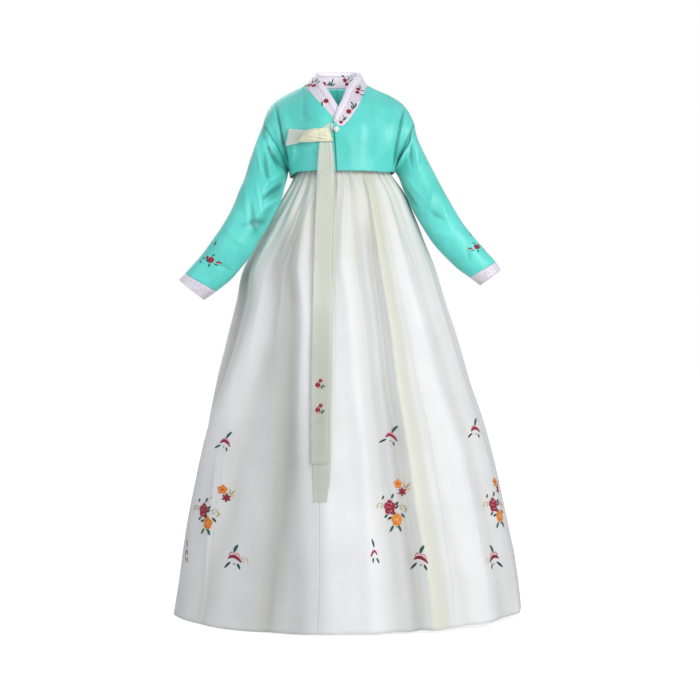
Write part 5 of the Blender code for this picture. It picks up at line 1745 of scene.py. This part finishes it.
def stitch(ground, ray, motif, turn=0.0, size=(1.0, 1.0), depth=PLEAT_DEPTH):
    """Lays a motif on the cloth where the ray meets it; later strokes lie over earlier ones."""
    frame_here = cloth_frame(ground, *ray, 0.6 * depth)
    if frame_here is None:
        return
    place, right, up, out = frame_here
    c, s = math.cos(math.radians(turn)), math.sin(math.radians(turn))
    right, up = right * c + up * s, up * c - right * s
    for number, row in enumerate(motif):
        grid_x, grid_y, rise, uv = stroke_grid(row)
        rise = rise + STROKE_LIFT * number
        starts = [place + right * x + up * y + out * depth
                  for x, y in zip((grid_x * size[0]).ravel(), (grid_y * size[1]).ravel())]
        spots = [ground.hit(start, -out)[0] for start in starts]
        gaps = np.array([MISSED if spot is None else (spot - start).length
                         for spot, start in zip(spots, starts)])
        found = np.flatnonzero(gaps < 2.0 * depth)
        if len(found) < LEAST_FOUND * len(gaps):
            continue
        gaps = np.interp(np.arange(len(gaps)), found, gaps[found])
        add_stroke(row[0], np.array(starts) - gaps[:, None] * np.array(out), rise, np.array(out), uv)


def add_stroke(colour, base, rise, out, uv):
    """Closed body of one stroke: a domed top and a flat underside that share their border."""
    rows, columns = rise.shape
    vertices, faces, coords = STITCHES.setdefault(colour, ([], [], []))
    start = len(vertices)
    top = base + out * (rise.ravel()[:, None] + 0.00005)
    vertices += top.tolist()
    coords += uv.reshape(-1, 2).tolist()
    under = {}
    for r in range(1, rows - 1):
        for c in range(1, columns - 1):
            under[r, c] = len(vertices)
            vertices.append((base[r * columns + c] - out * 0.0002).tolist())
            coords.append(uv[r, c].tolist())
    for r in range(rows - 1):
        for c in range(columns - 1):
            corners = ((r, c), (r, c + 1), (r + 1, c + 1), (r + 1, c))
            faces.append([start + i * columns + j for i, j in corners])
            faces.append([under.get(k, start + k[0] * columns + k[1]) for k in corners[::-1]])


# Motif, place in the photograph, turn in degrees and width as a share
SEEN_MOTIFS = (
    (SPRIG, 223.5, 442.5, 0.0, 1.15),
    (SPRIG, 389.5, 436.5, 0.0, 1.0),
    (SPRIG, 474.0, 430.0, 6.0, 1.1),
    (CLUSTER_WIDE, 203.6, 510.5, 0.0, 1.5),
    (CLUSTER, 389.8, 507.4, 0.0, 1.0),
    (CLUSTER, 493.4, 505.0, 0.0, 1.25),
    (SPRIG_RIGHT_CURL, 233.5, 557.5, 4.0, 1.35),
    (BUD, 374.0, 553.5, 0.0, 1.0),
    (LOW_SPRIG, 420.0, 558.5, 0.0, 1.0),
    (SPRIG_LEFT_CURL, 494.0, 557.5, -4.0, 1.45),
    (BUD, 186.5, 553.0, 0.0, 1.0),
)
# Motif, angle round the skirt and height, on the sides and the back
HIDDEN_MOTIFS = (
    (SPRIG, 108.0, -0.890), (SPRIG, 154.0, -0.900), (SPRIG, 201.0, -0.905), (SPRIG, 250.0, -0.905),
    (CLUSTER, 104.0, -1.060), (CLUSTER, 152.0, -1.065), (CLUSTER_WIDE, 200.0, -1.065),
    (CLUSTER, 248.0, -1.060),
    (SPRIG_LEFT_CURL, 90.0, -1.190), (BUD, 132.0, -1.180), (SPRIG_RIGHT_CURL, 176.0, -1.195),
    (BUD, 222.0, -1.185), (LOW_SPRIG, 242.0, -1.200),
)
# Motif, place in the photograph, turn in degrees and size as a share
COLLAR_MOTIFS = (
    (BERRIES, 312.0, 85.0, 35.0, 1.6),
    (ROSEBUD, 327.0, 84.0, 8.0, 1.45),
    (BERRIES, 346.5, 82.3, -15.0, 1.3),
    (ROSEBUD, 323.5, 103.0, 222.0, 1.5),
    (BERRIES, 358.5, 91.0, -60.0, 1.5),
    (ROSEBUD, 350.8, 109.0, 55.0, 1.5),
    (ROSEBUD, 342.5, 120.5, 50.0, 1.0),
)
# Place in the photograph, turn in degrees, width and height as shares
SLEEVE_MOTIFS = ((211.0, 260.0, 0.0, 1.0, 1.0), (476.3, 246.8, 0.0, -0.85, 0.85))
TAIL_MOTIFS = {"goreum_tail_front": ((318.7, 384.5), (318.7, 409.5)),
               "goreum_tail_back": ((320.5, 422.5), (320.5, 446.5))}


def embroider():
    """Stitches every motif, then makes one piece for each thread colour."""
    skirt = cloth_ground("skirt_panel")
    for motif, across, down, turn, wide in SEEN_MOTIFS:
        stitch(skirt, photo_ray(across, down), motif, turn, (wide, 1.0))
    for motif, angle, z in HIDDEN_MOTIFS:
        stitch(skirt, skirt_ray(angle, z), motif)
    jacket = cloth_ground("sleeve")
    for across, down, turn, wide, high in SLEEVE_MOTIFS:
        stitch(jacket, photo_ray(across, down), SLEEVE_SPRAY, turn, (wide, high))
    collar = cloth_ground("collar")
    for motif, across, down, turn, size in COLLAR_MOTIFS:
        stitch(collar, photo_ray(across, down), motif, turn, (size, size), COLLAR_DEPTH)
    for node, places in TAIL_MOTIFS.items():
        tail = cloth_ground(node)
        for across, down in places:
            stitch(tail, photo_ray(across, down), TAIL_SPRAY, depth=TAIL_DEPTH)
    for colour, (vertices, faces, coords) in STITCHES.items():
        add_mesh("embroidery_" + colour, vertices, faces, THREADS[colour], uv=coords)


# Stage
FLOOR_SIZE = 60.0
FLOOR_GAP = 0.002
FLOOR_GLOW = 0.85


def add_object(name, data):
    """An object of the scene that isn't part of the garment."""
    made = bpy.data.objects.new(name, data)
    bpy.context.scene.collection.objects.link(made)
    return made


def add_stage():
    """The white floor under the hem."""
    low = cad_box[0][2] - FLOOR_GAP
    size = FLOOR_SIZE / 2
    mesh = bpy.data.meshes.new("floor")
    corners = [(-size, -size, low), (size, -size, low), (size, size, low), (-size, size, low)]
    mesh.from_pydata(corners, [], [(0, 1, 2, 3)])
    floor = add_object("floor", mesh)
    shader = Shader("floor_paint")
    tone = shader.blend(shader.noise(3.0), (0.50, 0.50, 0.50), (0.52, 0.52, 0.52))
    shader.main.inputs["Emission Color"].default_value = (1.0, 1.0, 1.0, 1.0)
    path = shader.node("ShaderNodeLightPath").outputs["Is Camera Ray"]
    shader.link(shader.times(path, FLOOR_GLOW), shader.main, "Emission Strength")
    mesh.materials.append(shader.finish(tone, 0.9))


def add_light(name, place, aim, size, power, colour=(1.0, 1.0, 1.0)):
    data = bpy.data.lights.new(name, "AREA")
    data.shape = "RECTANGLE"
    data.size, data.size_y = size
    data.energy = power
    data.color = colour
    lamp = add_object(name, data)
    lamp.location = place
    lamp.rotation_euler = (Vector(aim) - Vector(place)).to_track_quat("-Z", "Y").to_euler()
    return lamp


def add_lights():
    """The lamps, and the world: soft grey light from it, while the camera sees it white."""
    add_light("key", (2.8, -3.9, 1.4), (0.0, 0.0, -0.6), (2.4, 2.4), 136.0, (1.0, 0.99, 0.97))
    add_light("low", (1.9, -4.2, -1.0), (0.0, 0.0, -0.5), (2.0, 0.7), 44.0)
    neck = add_light("neck", (0.0, -0.035, 0.015), (0.0, 0.06, -0.05), (0.07, 0.03), 0.062)
    neck.visible_camera = False
    add_light("fill", (-3.6, -3.2, 0.6), (0.0, 0.0, -0.7), (3.0, 3.0), 31.0, (0.95, 0.98, 1.0))
    side = add_light("side", (-2.4, -2.2, -1.1), (-0.25, 0.0, -1.0), (0.8, 0.8), 0.9)
    side.data.spread = math.radians(42.0)
    add_light("rim", (-1.5, 3.4, 2.4), (0.0, 0.0, -0.4), (2.4, 2.4), 60.0)
    world = bpy.data.worlds.new("studio")
    world.use_nodes = True
    nodes, links = world.node_tree.nodes, world.node_tree.links
    soft = nodes["Background"]
    soft.inputs["Color"].default_value = (0.97, 0.98, 1.0, 1.0)
    soft.inputs["Strength"].default_value = 0.50
    seen = nodes.new("ShaderNodeBackground")
    seen.inputs["Color"].default_value = (1.0, 1.0, 1.0, 1.0)
    seen.inputs["Strength"].default_value = 1.0
    path, mix = nodes.new("ShaderNodeLightPath"), nodes.new("ShaderNodeMixShader")
    links.new(path.outputs["Is Camera Ray"], mix.inputs[0])
    links.new(soft.outputs[0], mix.inputs[1])
    links.new(seen.outputs[0], mix.inputs[2])
    links.new(mix.outputs[0], nodes["World Output"].inputs["Surface"])
    bpy.context.scene.world = world


def add_camera():
    """The camera of the photograph."""
    data = bpy.data.cameras.new("camera")
    data.sensor_width = 36.0
    data.lens = FOCAL_PIXELS / PHOTO_SIZE * data.sensor_width
    camera = add_object("camera", data)
    camera.location = CAMERA
    dip = math.atan((PHOTO_SIZE / 2 - HORIZON_PIXEL) / FOCAL_PIXELS)
    camera.rotation_euler = (math.pi / 2 - dip, 0.0, 0.0)
    scene = bpy.context.scene
    scene.camera = camera
    scene.view_settings.view_transform = "Standard"


dress_jacket()
dress_skirt()
dress_ribbons()
embroider()
add_stage()
add_lights()
add_camera()
bpy.context.view_layer.update()
